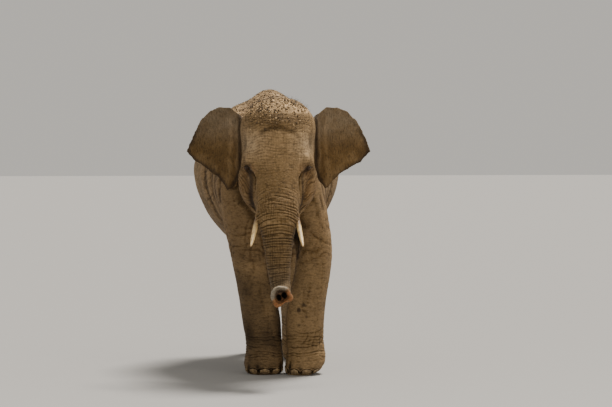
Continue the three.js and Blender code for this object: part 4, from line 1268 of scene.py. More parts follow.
def hide_material(colours):
    """Dusty, cracked hide. The marks on the mesh say where each of its colours lies, and where shade and
    highlights are painted.
    """
    material, tree, skin = new_material("hide")
    places = object_places(tree)
    broad = mottle(tree, places, 0.34)
    patch = mottle(tree, places, 0.075, 5.0, 0.62)
    fine = mottle(tree, places, 0.012, 6.0, 0.65)
    streaks = mottle(tree, object_places(tree, (1, 1, 2.4)), 0.034, 5.0, 0.70)
    hanging = mottle(tree, object_places(tree, (2.6, 2.6, 0.8)), 0.030, 5.0, 0.70)
    level = mottle(tree, object_places(tree, (0.5, 0.5, 2.7)), 0.027, 4.0, 0.62)
    streaks = mixed(tree, mark(tree, "ear"), mixed(tree, mark(tree, "trunk"), streaks, level), hanging)
    flecks = mottle(tree, object_places(tree, (1.1, 1.1, 1.5)), 0.019, 4.0, 0.60)
    grain = mottle(tree, places, 0.0035, 3.0, 0.6)
    warp = add_node(tree, "ShaderNodeTexNoise", {"Vector": places, "Scale": 1 / 0.030, "Detail": 3.0})
    warped = {0: CRACK_WANDER, 4: object_places(tree, (1, 1, 2.0)), 5: warp.outputs["Color"]}
    bent = add_node(tree, "ShaderNodeMix", warped, data_type="VECTOR").outputs[1]
    wide_cut = step_between(tree, cracks(tree, bent, WIDE_CRACKS), 0.0, 0.15)
    narrow_cut = step_between(tree, cracks(tree, bent, NARROW_CRACKS), 0.0, 0.20)

    tone = step_between(tree, broad, 0.36, 0.64)
    colour = mixed(tree, tone, opaque(colours.hide_dark), opaque(colours.hide))
    inputs = {"Value": patch, "From Min": 0.30, "From Max": 0.64, "To Min": 0.50, "To Max": 1.0}
    patches = add_node(tree, "ShaderNodeMapRange", inputs, interpolation_type="SMOOTHSTEP").outputs["Result"]
    colour = mixed(tree, times(tree, mark(tree, "rust"), patches), colour, opaque(colours.rust))
    # Dust, which also stands in for the light on the crown and back: partly a painted highlight.
    dust_and_highlight = times(tree, mark(tree, "dust_and_highlight"), patches)
    dust_and_highlight = maths(tree, "ADD", dust_and_highlight, times(tree, mark(tree, "ridge"), 0.32), clamp=True)
    colour = mixed(tree, dust_and_highlight, colour, opaque(colours.dust_and_highlight))
    # Grey hide, which on the top of the trunk's finger is partly a painted highlight.
    colour = mixed(tree, times(tree, mark(tree, "grey_and_highlight"), patches), colour, opaque(colours.grey_and_highlight))
    bare = times(tree, mark(tree, "pink"), step_between(tree, fine, 0.30, 0.62))
    colour = mixed(tree, bare, colour, opaque(colours.pink))
    # Painted shade: the dark mark mixes the colour most of the way towards mud.
    colour = mixed(tree, mark(tree, "dark"), colour, mixed(tree, 0.84, colour, opaque(colours.mud_and_shade)))
    # Painted shade: the nostrils are made near black.
    nostril = step_between(tree, mark(tree, "hollow"), 0.50, 0.90)
    colour = mixed(tree, times(tree, nostril, 0.92), colour, NOSTRIL_SHADE)
    # Painted shade in the creases and hollows. The cracks and streaks below are darkened towards the same
    # colour.
    deep = mixed(tree, 0.80, colour, opaque(colours.mud_and_shade), "MULTIPLY")
    colour = mixed(tree, times(tree, mark(tree, "crease_shade"), 0.92), colour, deep)
    cut = times(tree, rest_of(tree, wide_cut), 0.07)
    for darker, strength in (
        (rest_of(tree, narrow_cut), 0.14),
        (step_between(tree, fine, 0.50, 0.28), 0.30),
    ):
        cut = maths(tree, "ADD", cut, times(tree, darker, strength))
    streaked = times(tree, step_between(tree, streaks, 0.54, 0.36), 0.46)
    colour = mixed(tree, maths(tree, "ADD", cut, streaked, clamp=True), colour, deep)
    pale = times(tree, step_between(tree, flecks, 0.52, 0.74), 0.18)
    # The pale flecks are left out where shade is painted and on the ears.
    colour = mixed(tree, times(tree, pale, rest_of(tree, mark(tree, "unflecked"))), colour, opaque(colours.dust_and_highlight))
    tree.links.new(colour, skin.inputs["Base Color"])

    rough = maths(tree, "ADD", times(tree, step_between(tree, fine, 0.2, 0.8), 0.16), 0.70)
    moist = maths(tree, "SUBTRACT", mark(tree, "end"), mark(tree, "hollow"), clamp=True)
    damp_and_shade = maths(tree, "MAXIMUM", mark(tree, "wet"), times(tree, moist, 0.4))
    rough = maths(tree, "SUBTRACT", rough, times(tree, damp_and_shade, 0.40), clamp=True)
    tree.links.new(rough, skin.inputs["Roughness"])

    normal = None
    for height, distance, strength in (
        (patch, 0.006, 0.45), (streaks, 0.0095, 0.75), (wide_cut, 0.0020, 0.60),
        (narrow_cut, 0.0011, 0.80), (fine, 0.0022, 0.60), (grain, 0.0006, 0.60),
    ):
        normal = bump(tree, height, distance, strength, normal)
    tree.links.new(normal, skin.inputs["Normal"])
    skin.inputs["Specular IOR Level"].default_value = 0.20
    return material


# ---------------------------------------------------------------- the eyes

IRIS = 0.0092                         # radius, like the pupil's
PUPIL = 0.0036
CORNEA = 0.0013                       # how far the clear front stands out
PUPIL_COLOUR = (0.003, 0.003, 0.003, 1)
WHITE_COLOURS = ((0.014, 0.008, 0.005, 1), (0.060, 0.034, 0.020, 1))


def make_eyes():
    """Both eyeballs, each with a raised clear front over its iris."""
    work = bmesh.new()
    pieces = []
    for eye, side in ((LEFT_EYE, 1), (RIGHT_EYE, -1)):
        outward, forward, upward = eye_axes(side)
        turn = Matrix((forward, upward, outward)).transposed().to_4x4()
        place = Matrix.Translation(eye) @ turn
        ball = bmesh.ops.create_uvsphere(work, u_segments=48, v_segments=40, radius=EYE_RADIUS)
        for vertex in ball["verts"]:
            off = math.hypot(vertex.co.x, vertex.co.y)
            if vertex.co.z > 0:
                vertex.co.z += CORNEA * math.exp(-(off / (IRIS * 0.95)) ** 4)
        bmesh.ops.transform(work, matrix=place, verts=ball["verts"])
        pieces.append((eye, outward))
    bmesh.ops.recalc_face_normals(work, faces=work.faces)
    mesh = bpy.data.meshes.new("eyes")
    work.to_mesh(mesh)
    work.free()
    points = points_of(mesh)
    off = np.full(len(points), 1.0)
    for eye, outward in pieces:
        away = points - np.array(eye)
        along = away @ outward
        radius = np.linalg.norm(away - np.outer(along, outward), axis=1)
        off = np.where((np.linalg.norm(away, axis=1) < 2 * EYE_RADIUS) & (along > 0), radius, off)
    store(mesh, "off_axis", off)
    return new_object("eyes", mesh)


def eye_material(colours):
    """Dark amber iris with fine spokes, black pupil and a brown white of the eye, all wet."""
    material, tree, ball = new_material("eye")
    places = object_places(tree)
    off = mark(tree, "off_axis")
    spokes = mottle(tree, places, 0.0011, 2.0)
    spokes = step_between(tree, spokes, 0.35, 0.65)
    iris = mixed(tree, spokes, opaque(colours.iris_dark), opaque(colours.iris))
    white = mixed(tree, mottle(tree, places, 0.006), *WHITE_COLOURS)
    colour = mixed(tree, step_between(tree, off, IRIS * 0.93, IRIS * 1.05), iris, white)
    colour = mixed(tree, step_between(tree, off, PUPIL * 0.9, PUPIL * 1.1), PUPIL_COLOUR, colour)
    tree.links.new(colour, ball.inputs["Base Color"])
    ball.inputs["Roughness"].default_value = 0.16
    ball.inputs["IOR"].default_value = 1.36
    ball.inputs["Specular IOR Level"].default_value = 0.32
    return material


# ---------------------------------------------------------------- tusks and nails

def rounded_copy(name, nodes, voxel, rounds, swell=0.2):
    """Smooth closed copies of faceted CAD nodes, in one piece. Each is swollen by a part of a voxel."""
    piece = joined_copy(name, nodes)
    with_modifier(piece, "REMESH", mode="VOXEL", voxel_size=voxel)
    mesh = piece.data
    set_points(mesh, spread(points_of(mesh), edges_of(mesh), rounds, 0.7))
    set_points(mesh, points_of(mesh) + normals_of(mesh) * voxel * swell)
    return piece


TUSK_VOXEL = 0.0026
# Stains of the tusks: where they leave the lip, at their worn ends, and along their grain.
LIP_STAIN = (0.17, 0.10, 0.048, 1)
WORN_STAIN = (0.40, 0.23, 0.10, 1)
GRAIN_STAIN = (0.23, 0.15, 0.08, 1)


def make_tusks():
    """Both tusks, with each point's distance from the lip kept for the stains."""
    piece = rounded_copy("tusks", ["tusk_left", "tusk_right"], TUSK_VOXEL, 26)
    points = points_of(piece.data)
    along = np.zeros(len(points))
    for side in (1, -1):
        place, course = tusk_exit(side)
        here = (points - np.array(BROW)) @ np.array(ACROSS) * side > 0
        along[here] = ((points - np.array(place)) @ np.array(course))[here]
    store(piece.data, "from_lip", along)
    return piece


def ivory_material(colours):
    """Cream ivory, stained brown where it leaves the lip, with fine cracks along it."""
    material, tree, ivory = new_material("ivory")
    places = object_places(tree)
    long_grain = object_places(tree, (14, 4, 4))
    streak = mottle(tree, long_grain, 0.16, 5.0, 0.6)
    cloud = mottle(tree, places, 0.05)
    from_lip = mark(tree, "from_lip")
    tone = step_between(tree, cloud, 0.32, 0.68)
    colour = mixed(tree, tone, opaque(colours.ivory_stained), opaque(colours.ivory))
    root = maths(tree, "ADD", from_lip, times(tree, cloud, 0.05))
    colour = mixed(tree, step_between(tree, root, 0.095, 0.018), colour, LIP_STAIN)
    worn = step_between(tree, root, 0.25, 0.32)
    colour = mixed(tree, times(tree, worn, 0.55), colour, WORN_STAIN)
    colour = mixed(tree, times(tree, step_between(tree, streak, 0.47, 0.33), 0.55), colour, GRAIN_STAIN)
    tree.links.new(colour, ivory.inputs["Base Color"])
    rough = maths(tree, "ADD", times(tree, streak, 0.22), 0.30)
    tree.links.new(rough, ivory.inputs["Roughness"])
    tree.links.new(bump(tree, streak, 0.0012, 0.5), ivory.inputs["Normal"])
    return material


def nail_material(colours):
    """Horn with level growth ridges, worn pale, with soil in its ridges and in specks."""
    material, tree, horn = new_material("nail")
    places = object_places(tree)
    ridges = mottle(tree, object_places(tree, (1, 1, 9)), 0.045, 3.0)
    cloud = mottle(tree, places, 0.022, 4.0)
    speck = mottle(tree, places, 0.006, 4.0)
    tone = step_between(tree, cloud, 0.34, 0.66)
    colour = mixed(tree, tone, opaque(colours.nail_dark), opaque(colours.nail))
    for soiled, strength in (
        (step_between(tree, ridges, 0.50, 0.36), 0.5),
        (step_between(tree, speck, 0.46, 0.34), 0.6),
    ):
        colour = mixed(tree, times(tree, soiled, strength), colour, opaque(colours.mud_and_shade))
    tree.links.new(colour, horn.inputs["Base Color"])
    rough = maths(tree, "ADD", times(tree, cloud, 0.25), 0.42)
    tree.links.new(rough, horn.inputs["Roughness"])
    tree.links.new(bump(tree, ridges, 0.0020, 0.6, bump(tree, speck, 0.0008, 0.5)), horn.inputs["Normal"])
    return material


# ---------------------------------------------------------------- hair and soil

def blade_template(joints):
    """A three-sided hair of length 1 and root radius 1, cut into stretches so that it can bend."""
    work = bmesh.new()
    bmesh.ops.create_cone(work, cap_ends=True, segments=3, radius1=1.0, radius2=0.18, depth=1.0)
    bmesh.ops.translate(work, vec=(0, 0, 0.5), verts=work.verts)
    for k in range(1, joints):
        whole = work.verts[:] + work.edges[:] + work.faces[:]
        bmesh.ops.bisect_plane(work, geom=whole, plane_co=(0, 0, k / joints), plane_no=(0, 0, 1))
    bmesh.ops.triangulate(work, faces=work.faces)
    return template_arrays(work)


def crumb_template():
    """A lumpy grain about 1 across."""
    work = bmesh.new()
    ball = bmesh.ops.create_icosphere(work, subdivisions=1, radius=0.5)
    for k, vertex in enumerate(ball["verts"]):
        vertex.co *= 0.80 + 0.40 * ((k * 7) % 5) / 4
    return template_arrays(work)


def template_arrays(work):
    work.verts.index_update()
    points = np.array([vertex.co[:] for vertex in work.verts])
    faces = np.array([[vertex.index for vertex in face.verts] for face in work.faces])
    work.free()
    return points, faces


def unwrapped(points):
    """Places on the hide's own unwrap: how far round the body's long middle line, and how far along it."""
    low, high = (np.array(corner) for corner in CAD_BOX)
    centre = (low + high) / 2
    round_body = np.arctan2(points[:, 0] - centre[0], points[:, 2] - centre[2]) / (2 * math.pi) + 0.5
    along = (points[:, 1] - low[1]) / (high[1] - low[1])
    return np.column_stack([0.02 + 0.95 * round_body, 0.02 + 0.95 * along])


PATCH = 0.003                         # size of a hair's or grain's patch on the unwrap


def scattered(name, template, roots, moved, tone):
    """One mesh of many copies of a template, each at its own place, with a patch each on the OFBake map."""
    shape, faces = template
    count, size = len(roots), len(shape)
    mesh = bpy.data.meshes.new(name)
    every = (faces[None] + np.arange(count)[:, None, None] * size).reshape(-1, 3)
    mesh.from_pydata(moved.reshape(-1, 3), [], every)
    store(mesh, "tone", np.repeat(tone, size))
    spot = np.clip((shape[:, :2] + 1) / 2, 0, 1) * PATCH * 0.5
    spot[:, 1] += shape[:, 2] / (np.abs(shape[:, 2]).max() + 1e-9) * PATCH * 0.4
    flat = (unwrapped(roots)[:, None, :] + spot[None]).reshape(-1, 2)
    layer = mesh.uv_layers.new(name="OFBake")
    corners = np.empty(len(mesh.loops), np.int32)
    mesh.loops.foreach_get("vertex_index", corners)
    layer.data.foreach_set("uv", flat[corners].astype(np.float32).ravel())
    return new_object(name, mesh)


def cross_directions(along):
    """Two directions square to each of many."""
    helper = np.where(np.abs(along[:, 2:3]) < 0.9, (0, 0, 1.0), (1.0, 0, 0))
    first = np.cross(along, helper)
    first /= np.linalg.norm(first, axis=1)[:, None]
    return first, np.cross(along, first)


def hairs(name, roots, along, length, width, bend, joints, rng):
    """Hairs that start along a direction and bend by a vector over their length."""
    template = blade_template(joints)
    shape = template[0]
    first, second = cross_directions(along)
    t = shape[:, 2][None, :, None]
    moved = (roots[:, None] + along[:, None] * length[:, None, None] * t
             + bend[:, None] * length[:, None, None] * t ** 2
             + first[:, None] * shape[:, 0][None, :, None] * width[:, None, None]
             + second[:, None] * shape[:, 1][None, :, None] * width[:, None, None])
    return scattered(name, template, roots, moved, rng.random(len(roots)))


def sprinkle(mesh, weight, count, rng):
    """Random places on the hide, in proportion to weight and area, with their normals."""
    total = triangles_of(mesh)
    corners = np.empty(total * 3, np.int32)
    mesh.loop_triangles.foreach_get("vertices", corners)
    corners = corners.reshape(-1, 3)
    points = points_of(mesh)[corners]
    normals = normals_of(mesh)[corners]
    area = np.linalg.norm(np.cross(points[:, 1] - points[:, 0], points[:, 2] - points[:, 0]), axis=1)
    chance = area * weight[corners].mean(axis=1)
    pick = rng.choice(total, count, p=chance / chance.sum())
    part = rng.dirichlet((1, 1, 1), count)
    place = (points[pick] * part[:, :, None]).sum(axis=1)
    normal = (normals[pick] * part[:, :, None]).sum(axis=1)
    return place, normal / np.linalg.norm(normal, axis=1)[:, None]


def random_directions(rng, count):
    found = rng.normal(size=(count, 3))
    return found / np.linalg.norm(found, axis=1)[:, None]


def unit(vectors):
    return vectors / np.linalg.norm(vectors, axis=1)[:, None]


# Each patch of bristles: how many, shortest and longest, root radius, how far they lie back, their seed.
BRISTLES = {
    "crown": (1500, 0.018, 0.050, 0.00050, 0.55, 201),
    "back": (1100, 0.012, 0.034, 0.00045, 0.80, 202),
    "chin": (260, 0.018, 0.045, 0.00045, 0.35, 203),
    "trunk": (700, 0.006, 0.016, 0.00035, 0.60, 204),
    "ears": (320, 0.014, 0.040, 0.00040, 0.50, 205),
}


def bristle_weight(mesh, patch):
    """Where a patch of bristles grows."""
    points = points_of(mesh)
    normals = normals_of(mesh)
    across, ahead, up = head_coordinates(points).T
    side = np.abs(across)
    if patch == "crown":
        return stored(mesh, "skull") * smoothstep(0.22, 0.42, up) * smoothstep(0.30, 0.18, side) + 1e-9
    if patch == "back":
        return stored(mesh, "torso") * smoothstep(0.70, 0.95, normals[:, 2]) + 1e-9
    if patch == "chin":
        return stored(mesh, "jaw") * smoothstep(-0.36, -0.46, up) * smoothstep(-0.06, 0.04, ahead) + 1e-9
    if patch == "trunk":
        return stored(mesh, "trunk") * smoothstep(-0.1, 0.4, normals @ np.array(AHEAD)) + 1e-9
    _, out, ear_up, rim, _ = ear_places(points)
    canal = bell(out - 0.315, 0.030) * bell(ear_up - 0.08, 0.16)
    return stored(mesh, "ear") * (canal + 0.25 * smoothstep(0.03, 0.0, rim)) + 1e-9


def make_bristles(skin):
    pieces = []
    for patch, (count, short, long, width, lie, seed) in BRISTLES.items():
        rng = np.random.default_rng(seed)
        roots, normals = sprinkle(skin.data, bristle_weight(skin.data, patch), count, rng)
        length = short + (long - short) * rng.random(count) ** 1.6
        back = np.tile(-np.array(AHEAD), (count, 1)) - np.array((0, 0, 0.25))
        along = unit(normals + lie * back + 0.35 * random_directions(rng, count))
        bend = 0.35 * lie * back + 0.20 * random_directions(rng, count)
        roots = roots - normals * 0.001
        thick = width * (0.7 + 0.6 * rng.random(count))
        pieces.append(hairs("bristles_" + patch, roots, along, length, thick, bend, 3, rng))
    return pieces


UPPER_LASHES = 52
LOWER_LASHES = 22
LASH_RADIUS = 0.00045


def make_lashes():
    """Long lashes along the upper lids, and short ones below."""
    pieces = []
    for eye, side, name in ((LEFT_EYE, 1, "lashes_left"), (RIGHT_EYE, -1, "lashes_right")):
        rng = np.random.default_rng(210 + side)
        outward, forward, upward = eye_axes(side)
        count = UPPER_LASHES + LOWER_LASHES
        upper = np.arange(count) < UPPER_LASHES
        turn = np.where(upper, rng.uniform(0.10, 0.90, count), rng.uniform(1.15, 1.85, count)) * math.pi
        half, above, below = EYE_OPENING
        f = half * np.cos(turn)
        u = np.where(upper, above, below) * np.abs(np.sin(turn)) ** 0.9 * np.where(upper, 1, -1) * 1.08
        lid = EYE_RADIUS + LID * 0.75                # the lashes are rooted inside the lids
        o = np.sqrt(np.maximum(lid ** 2 - f ** 2 - u ** 2, 1e-6))
        roots = np.array(eye) + np.outer(f, forward) + np.outer(u, upward) + np.outer(o, outward)
        fan = np.outer(f / half * 0.5, forward)
        lean = np.where(upper, 0.05, -0.45)[:, None] * upward
        along = unit(outward + fan + lean + 0.10 * random_directions(rng, count))
        length = np.where(upper, rng.uniform(0.024, 0.042, count), rng.uniform(0.010, 0.018, count))
        bend = np.where(upper, -0.42, 0.05)[:, None] * upward + 0.06 * random_directions(rng, count)
        width = np.full(count, LASH_RADIUS)
        pieces.append(hairs(name, roots, along, length, width, bend, 5, rng))
    return pieces


TUFT_HAIRS = 1100


def make_tuft():
    """The flat brush at the tail's end: long stiff hairs in two rows."""
    rng = np.random.default_rng(220)
    low, high = (np.array(corner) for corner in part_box("tail_tuft"))
    centre = (low + high) / 2
    start = rng.random(TUFT_HAIRS) ** 0.8
    edge = np.where(rng.random(TUFT_HAIRS) < 0.5, 1.0, -1.0)
    roots = np.column_stack([
        centre[0] + rng.normal(0, 0.0045, TUFT_HAIRS),
        centre[1] + edge * 0.008 + rng.normal(0, 0.004, TUFT_HAIRS),
        high[2] + 0.012 - start * 0.10,
    ])
    down = np.tile((0.0, 0.0, -1.0), (TUFT_HAIRS, 1))
    splay = np.column_stack([
        rng.normal(0, 0.045, TUFT_HAIRS),
        edge * np.abs(rng.normal(0.10, 0.07, TUFT_HAIRS)),
        np.zeros(TUFT_HAIRS),
    ])
    along = unit(down + splay)
    room = roots[:, 2] - low[2]
    length = room * rng.uniform(0.55, 1.0, TUFT_HAIRS)
    bend = -splay * 0.85 + 0.035 * random_directions(rng, TUFT_HAIRS) * (1, 1, 0)
    width = rng.uniform(0.0007, 0.0012, TUFT_HAIRS)
    return hairs("tail_hair", roots, along, length, width, bend, 6, rng)


def hair_material(colours):
    material, tree, hair = new_material("hair")
    tone = mark(tree, "tone")
    colour = mixed(tree, tone, opaque(colours.hair), opaque(colours.hair_brown))
    tree.links.new(colour, hair.inputs["Base Color"])
    hair.inputs["Roughness"].default_value = 0.48
    return material


# Each patch of soil: how many grains, their smallest and largest size, their seed.
CRUMBS = {"crown": (2800, 0.0050, 0.0190, 231), "back": (3800, 0.0045, 0.0165, 232)}


def make_crumbs(skin):
    """Soil and chaff thrown over the crown and back."""
    template = crumb_template()
    shape = template[0]
    pieces = []
    for patch, (count, small, large, seed) in CRUMBS.items():
        rng = np.random.default_rng(seed)
        mesh = skin.data
        weight = bristle_weight(mesh, patch)
        if patch == "crown":
            _, _, up = head_coordinates(points_of(mesh)).T
            weight = weight * (0.05 + smoothstep(0.43, 0.52, up))
            weight = weight * smoothstep(-0.1, 0.5, normals_of(mesh)[:, 2])
        clump = smoothstep(-0.45, 0.45, noise(points_of(mesh), 0.07, seed))
        roots, normals = sprinkle(mesh, weight * (0.40 + clump) + 1e-9, count, rng)
        size = small + (large - small) * rng.random(count) ** 2.0
        first, second = cross_directions(normals)
        spin = rng.uniform(0, 2 * math.pi, count)[:, None]
        a = first * np.cos(spin) + second * np.sin(spin)
        b = np.cross(normals, a)
        stretch = rng.uniform(0.7, 1.7, (count, 1, 1))
        s = size[:, None, None]
        moved = (roots[:, None] + a[:, None] * shape[None, :, 0:1] * s * stretch
                 + b[:, None] * shape[None, :, 1:2] * s
                 + normals[:, None] * (shape[None, :, 2:3] * 0.62 + 0.10) * s)
        pieces.append(scattered("soil_" + patch, template, roots, moved, rng.random(count)))
    return pieces


def soil_material(colours):
    """Grains of dark soil and pale chaff."""
    material, tree, soil = new_material("soil")
    tone = mark(tree, "tone")
    colour = mixed(tree, step_between(tree, tone, 0.50, 0.56), opaque(colours.mud_and_shade), opaque(colours.chaff))
    colour = mixed(tree, mottle(tree, object_places(tree), 0.004), colour, opaque(colours.hide_dark))
    tree.links.new(colour, soil.inputs["Base Color"])
    soil.inputs["Roughness"].default_value = 0.92
    return material


# ---------------------------------------------------------------- stage

CAMERA_PLACE = (-1.3269, -20.2732, 2.256)
CAMERA_TURN = math.radians(-4.5)
CAMERA_DIP = math.radians(2.29)
CAMERA_LENS = 137.65
FLOOR_SIZE = 60                       # half the floor's width, in metres
SUN_WIDTH = math.radians(18)
SUN_FROM = (0.9, 0.95, 2.9)
SUN_STRENGTH = 6.6
SUN_COLOUR = (1.0, 0.93, 0.84)
SKY_STRENGTH = 0.56
SKY_COLOUR = (1.0, 0.955, 0.88)
# The lamps: name, place, what they are aimed at, size, power and colour.
LAMPS = (
    ("front", (-4.5, -9.0, 4.2), (0, -0.8, 1.6), (4.0, 3.0), 150, (1.0, 0.95, 0.87)),
    ("side", (6.5, -7.0, 3.0), (0.2, -0.8, 1.5), (3.0, 3.0), 190, (1.0, 0.90, 0.76)),
)


def area_light(name, place, aim, size, power, colour):
    light = bpy.data.lights.new(name, "AREA")
    light.shape = "RECTANGLE"
    light.size, light.size_y = size
    light.energy = power
    light.color = colour
    lamp = bpy.data.objects.new(name, light)
    lamp.location = place
    lamp.rotation_euler = (Vector(aim) - Vector(place)).to_track_quat("-Z", "Y").to_euler()
    bpy.context.scene.collection.objects.link(lamp)


def soft_sun(towards, strength, colour):
    """Wide parallel light from a direction, which lights the whole floor alike."""
    light = bpy.data.lights.new("sun", "SUN")
    light.energy = strength
    light.angle = SUN_WIDTH
    light.color = colour
    lamp = bpy.data.objects.new("sun", light)
    lamp.rotation_euler = Vector(towards).to_track_quat("Z", "Y").to_euler()
    bpy.context.scene.collection.objects.link(lamp)


def make_floor(colour):
    work = bmesh.new()
    bmesh.ops.create_grid(work, x_segments=1, y_segments=1, size=FLOOR_SIZE)
    mesh = bpy.data.meshes.new("floor")
    work.to_mesh(mesh)
    work.free()
    material, _, floor = new_material("floor")
    floor.inputs["Base Color"].default_value = opaque(colour)
    floor.inputs["Roughness"].default_value = 0.85
    mesh.materials.append(material)
    return new_object("floor", mesh)


def make_camera():
    camera = bpy.data.cameras.new("camera")
    camera.lens = CAMERA_LENS
    camera.sensor_width = 36
    camera.clip_end = 200
    holder = bpy.data.objects.new("camera", camera)
    holder.location = CAMERA_PLACE
    holder.rotation_euler = (math.pi / 2 - CAMERA_DIP, 0, CAMERA_TURN)
    bpy.context.scene.collection.objects.link(holder)
    bpy.context.scene.camera = holder


def make_world(colour, strength):
    world = bpy.data.worlds.new("studio")
    world.use_nodes = True
    background = world.node_tree.nodes["Background"]
    background.inputs["Color"].default_value = opaque(colour)
    background.inputs["Strength"].default_value = strength
    bpy.context.scene.world = world


# ---------------------------------------------------------------- add-on

def colour_setting(name, description, default):
    return bpy.props.FloatVectorProperty(
        name=name, description=description, default=default, subtype="COLOR", size=3, min=0.0, max=1.0)


class ElephantColours(bpy.types.PropertyGroup):
    """Colours that a user may want to change."""
    hide: colour_setting("Hide", "Main colour of the hide", (0.136, 0.083, 0.028))
    hide_dark: colour_setting("Dark hide", "Darker patches of the hide", (0.100, 0.060, 0.020))
    rust: colour_setting("Rust", "Red soil rubbed into the ears and cheeks", (0.175, 0.086, 0.026))
    # Bright enough to stand in for the light on the crown and back as well: dust and a painted highlight.
    dust_and_highlight: colour_setting("Dust", "Dry dust on the forehead, crown and back", (0.660, 0.450, 0.235))
    # Grey hide, and on the top of the trunk's finger partly a painted highlight.
    grey_and_highlight: colour_setting("Grey", "Bare grey hide at the temples and the trunk's finger", (0.33, 0.305, 0.245))
    pink: colour_setting("Pink", "Unpigmented skin at the trunk's lip and eye corners", (0.34, 0.110, 0.035))
    # Dark soil, and the colour that painted shade on the hide is mixed towards.
    mud_and_shade: colour_setting("Mud", "Dark soil in the folds", (0.020, 0.011, 0.005))
    chaff: colour_setting("Chaff", "Pale grains among the soil", (0.66, 0.46, 0.25))
    ivory: colour_setting("Ivory", "Clean tusk", (0.72, 0.545, 0.26))
    ivory_stained: colour_setting("Stained ivory", "Tusk with soil in it", (0.50, 0.33, 0.14))
    nail: colour_setting("Nail", "Worn toenail", (0.30, 0.205, 0.095))
    nail_dark: colour_setting("Dark nail", "Soiled toenail", (0.130, 0.082, 0.038))
    iris: colour_setting("Iris", "Amber of the iris", (0.085, 0.032, 0.010))
    iris_dark: colour_setting("Dark iris", "Spokes of the iris", (0.018, 0.008, 0.004))
    hair: colour_setting("Hair", "Black bristles", (0.012, 0.008, 0.006))
    hair_brown: colour_setting("Brown hair", "Faded bristles", (0.085, 0.045, 0.022))
    floor: colour_setting("Floor", "Studio floor", (0.278, 0.277, 0.274))


class ElephantSizes(bpy.types.PropertyGroup):
    """Sizes that a user may want to change."""
    wrinkle_depth: bpy.props.FloatProperty(
        name="Wrinkle depth", description="Depth of the wrinkles, 1 for a grown animal",
        default=1.0, min=0.0, max=1.5, subtype="FACTOR")
    nail_voxel: bpy.props.FloatProperty(
        name="Nail detail", description="Size of the facets that the nails are rounded with",
        default=0.0026, min=0.001, max=0.006, unit="LENGTH")


def finish_piece(piece, material, replaced=()):
    """Gives a piece its material and body, and hides the CAD nodes that it stands for."""
    piece.data.materials.clear()
    piece.data.materials.append(material)
    piece.data.polygons.foreach_set("use_smooth", [True] * len(piece.data.polygons))
    piece.data.update()
    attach(piece, "root")
    if replaced:
        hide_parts(*replaced)


class ELEPHANT_OT_skin(bpy.types.Operator):
    """Joins the solids of flesh under one wrinkled hide"""
    bl_idname = "elephant.skin"
    bl_label = "Make Skin"

    def execute(self, context):
        skin = make_skin(context.scene.elephant_sizes.wrinkle_depth)
        paint_marks(skin.data)
        finish_piece(skin, hide_material(context.scene.elephant_colours), FLESH)
        return {"FINISHED"}


class ELEPHANT_OT_eyes(bpy.types.Operator):
    """Makes the eyeballs and lashes"""
    bl_idname = "elephant.eyes"
    bl_label = "Make Eyes"

    def execute(self, context):
        colours = context.scene.elephant_colours
        finish_piece(make_eyes(), eye_material(colours), ("eye_left", "eye_right"))
        hair = bpy.data.materials.get("hair") or hair_material(colours)
        for lashes in make_lashes():
            finish_piece(lashes, hair)
        return {"FINISHED"}


class ELEPHANT_OT_tusks(bpy.types.Operator):
    """Makes the tusks and toenails"""
    bl_idname = "elephant.tusks"
    bl_label = "Make Tusks and Nails"

    def execute(self, context):
        colours = context.scene.elephant_colours
        finish_piece(make_tusks(), ivory_material(colours), ("tusk_left", "tusk_right"))
        nails = rounded_copy("nails", NAILS, context.scene.elephant_sizes.nail_voxel, 8, 0.9)
        finish_piece(nails, nail_material(colours), NAILS)
        return {"FINISHED"}


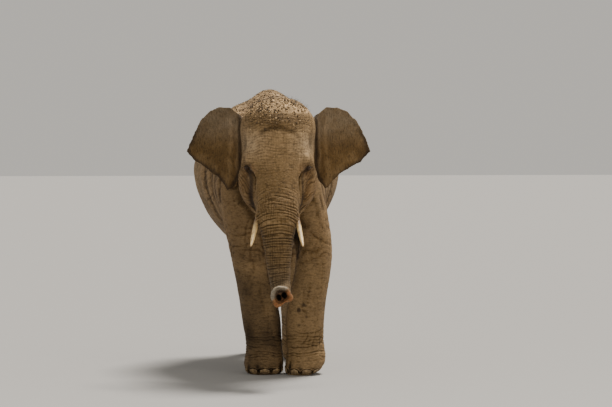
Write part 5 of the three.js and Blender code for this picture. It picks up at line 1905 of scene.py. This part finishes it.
class ELEPHANT_OT_hair(bpy.types.Operator):
    """Makes the tail's brush, the bristles and the soil thrown over the back"""
    bl_idname = "elephant.hair"
    bl_label = "Make Hair and Soil"

    def execute(self, context):
        colours = context.scene.elephant_colours
        skin = bpy.data.objects.get("skin")
        if skin is None:
            raise RuntimeError("Make the skin before the hair that grows on it")
        hair = bpy.data.materials.get("hair") or hair_material(colours)
        finish_piece(make_tuft(), hair, ("tail_tuft",))
        for bristles in make_bristles(skin):
            finish_piece(bristles, hair)
        soil = soil_material(colours)
        for crumbs in make_crumbs(skin):
            finish_piece(crumbs, soil)
        return {"FINISHED"}


class ELEPHANT_OT_stage(bpy.types.Operator):
    """Makes the floor, the lights and the camera"""
    bl_idname = "elephant.stage"
    bl_label = "Make Stage"

    def execute(self, context):
        make_floor(context.scene.elephant_colours.floor)
        make_world(SKY_COLOUR, SKY_STRENGTH)
        soft_sun(SUN_FROM, SUN_STRENGTH, SUN_COLOUR)
        for lamp in LAMPS:
            area_light(*lamp)
        make_camera()
        return {"FINISHED"}


class ELEPHANT_PT_panel(bpy.types.Panel):
    """The elephant's steps and settings"""
    bl_label = "Elephant"
    bl_idname = "ELEPHANT_PT_panel"
    bl_space_type = "VIEW_3D"
    bl_region_type = "UI"
    bl_category = "Elephant"

    def draw(self, context):
        for step in STEPS:
            self.layout.operator(step.bl_idname)
        for settings in (context.scene.elephant_sizes, context.scene.elephant_colours):
            for key in settings.__annotations__:
                self.layout.prop(settings, key)


STEPS = (ELEPHANT_OT_stage, ELEPHANT_OT_skin, ELEPHANT_OT_eyes, ELEPHANT_OT_tusks, ELEPHANT_OT_hair)
CLASSES = (ElephantColours, ElephantSizes) + STEPS + (ELEPHANT_PT_panel,)


def register():
    for cls in CLASSES:
        bpy.utils.register_class(cls)
    bpy.types.Scene.elephant_colours = bpy.props.PointerProperty(type=ElephantColours)
    bpy.types.Scene.elephant_sizes = bpy.props.PointerProperty(type=ElephantSizes)


def unregister():
    del bpy.types.Scene.elephant_sizes
    del bpy.types.Scene.elephant_colours
    for cls in reversed(CLASSES):
        bpy.utils.unregister_class(cls)


def main():
    register()
    bpy.ops.elephant.stage()
    bpy.ops.elephant.skin()
    bpy.ops.elephant.eyes()
    bpy.ops.elephant.tusks()
    bpy.ops.elephant.hair()


if __name__ == "__main__":
    main()
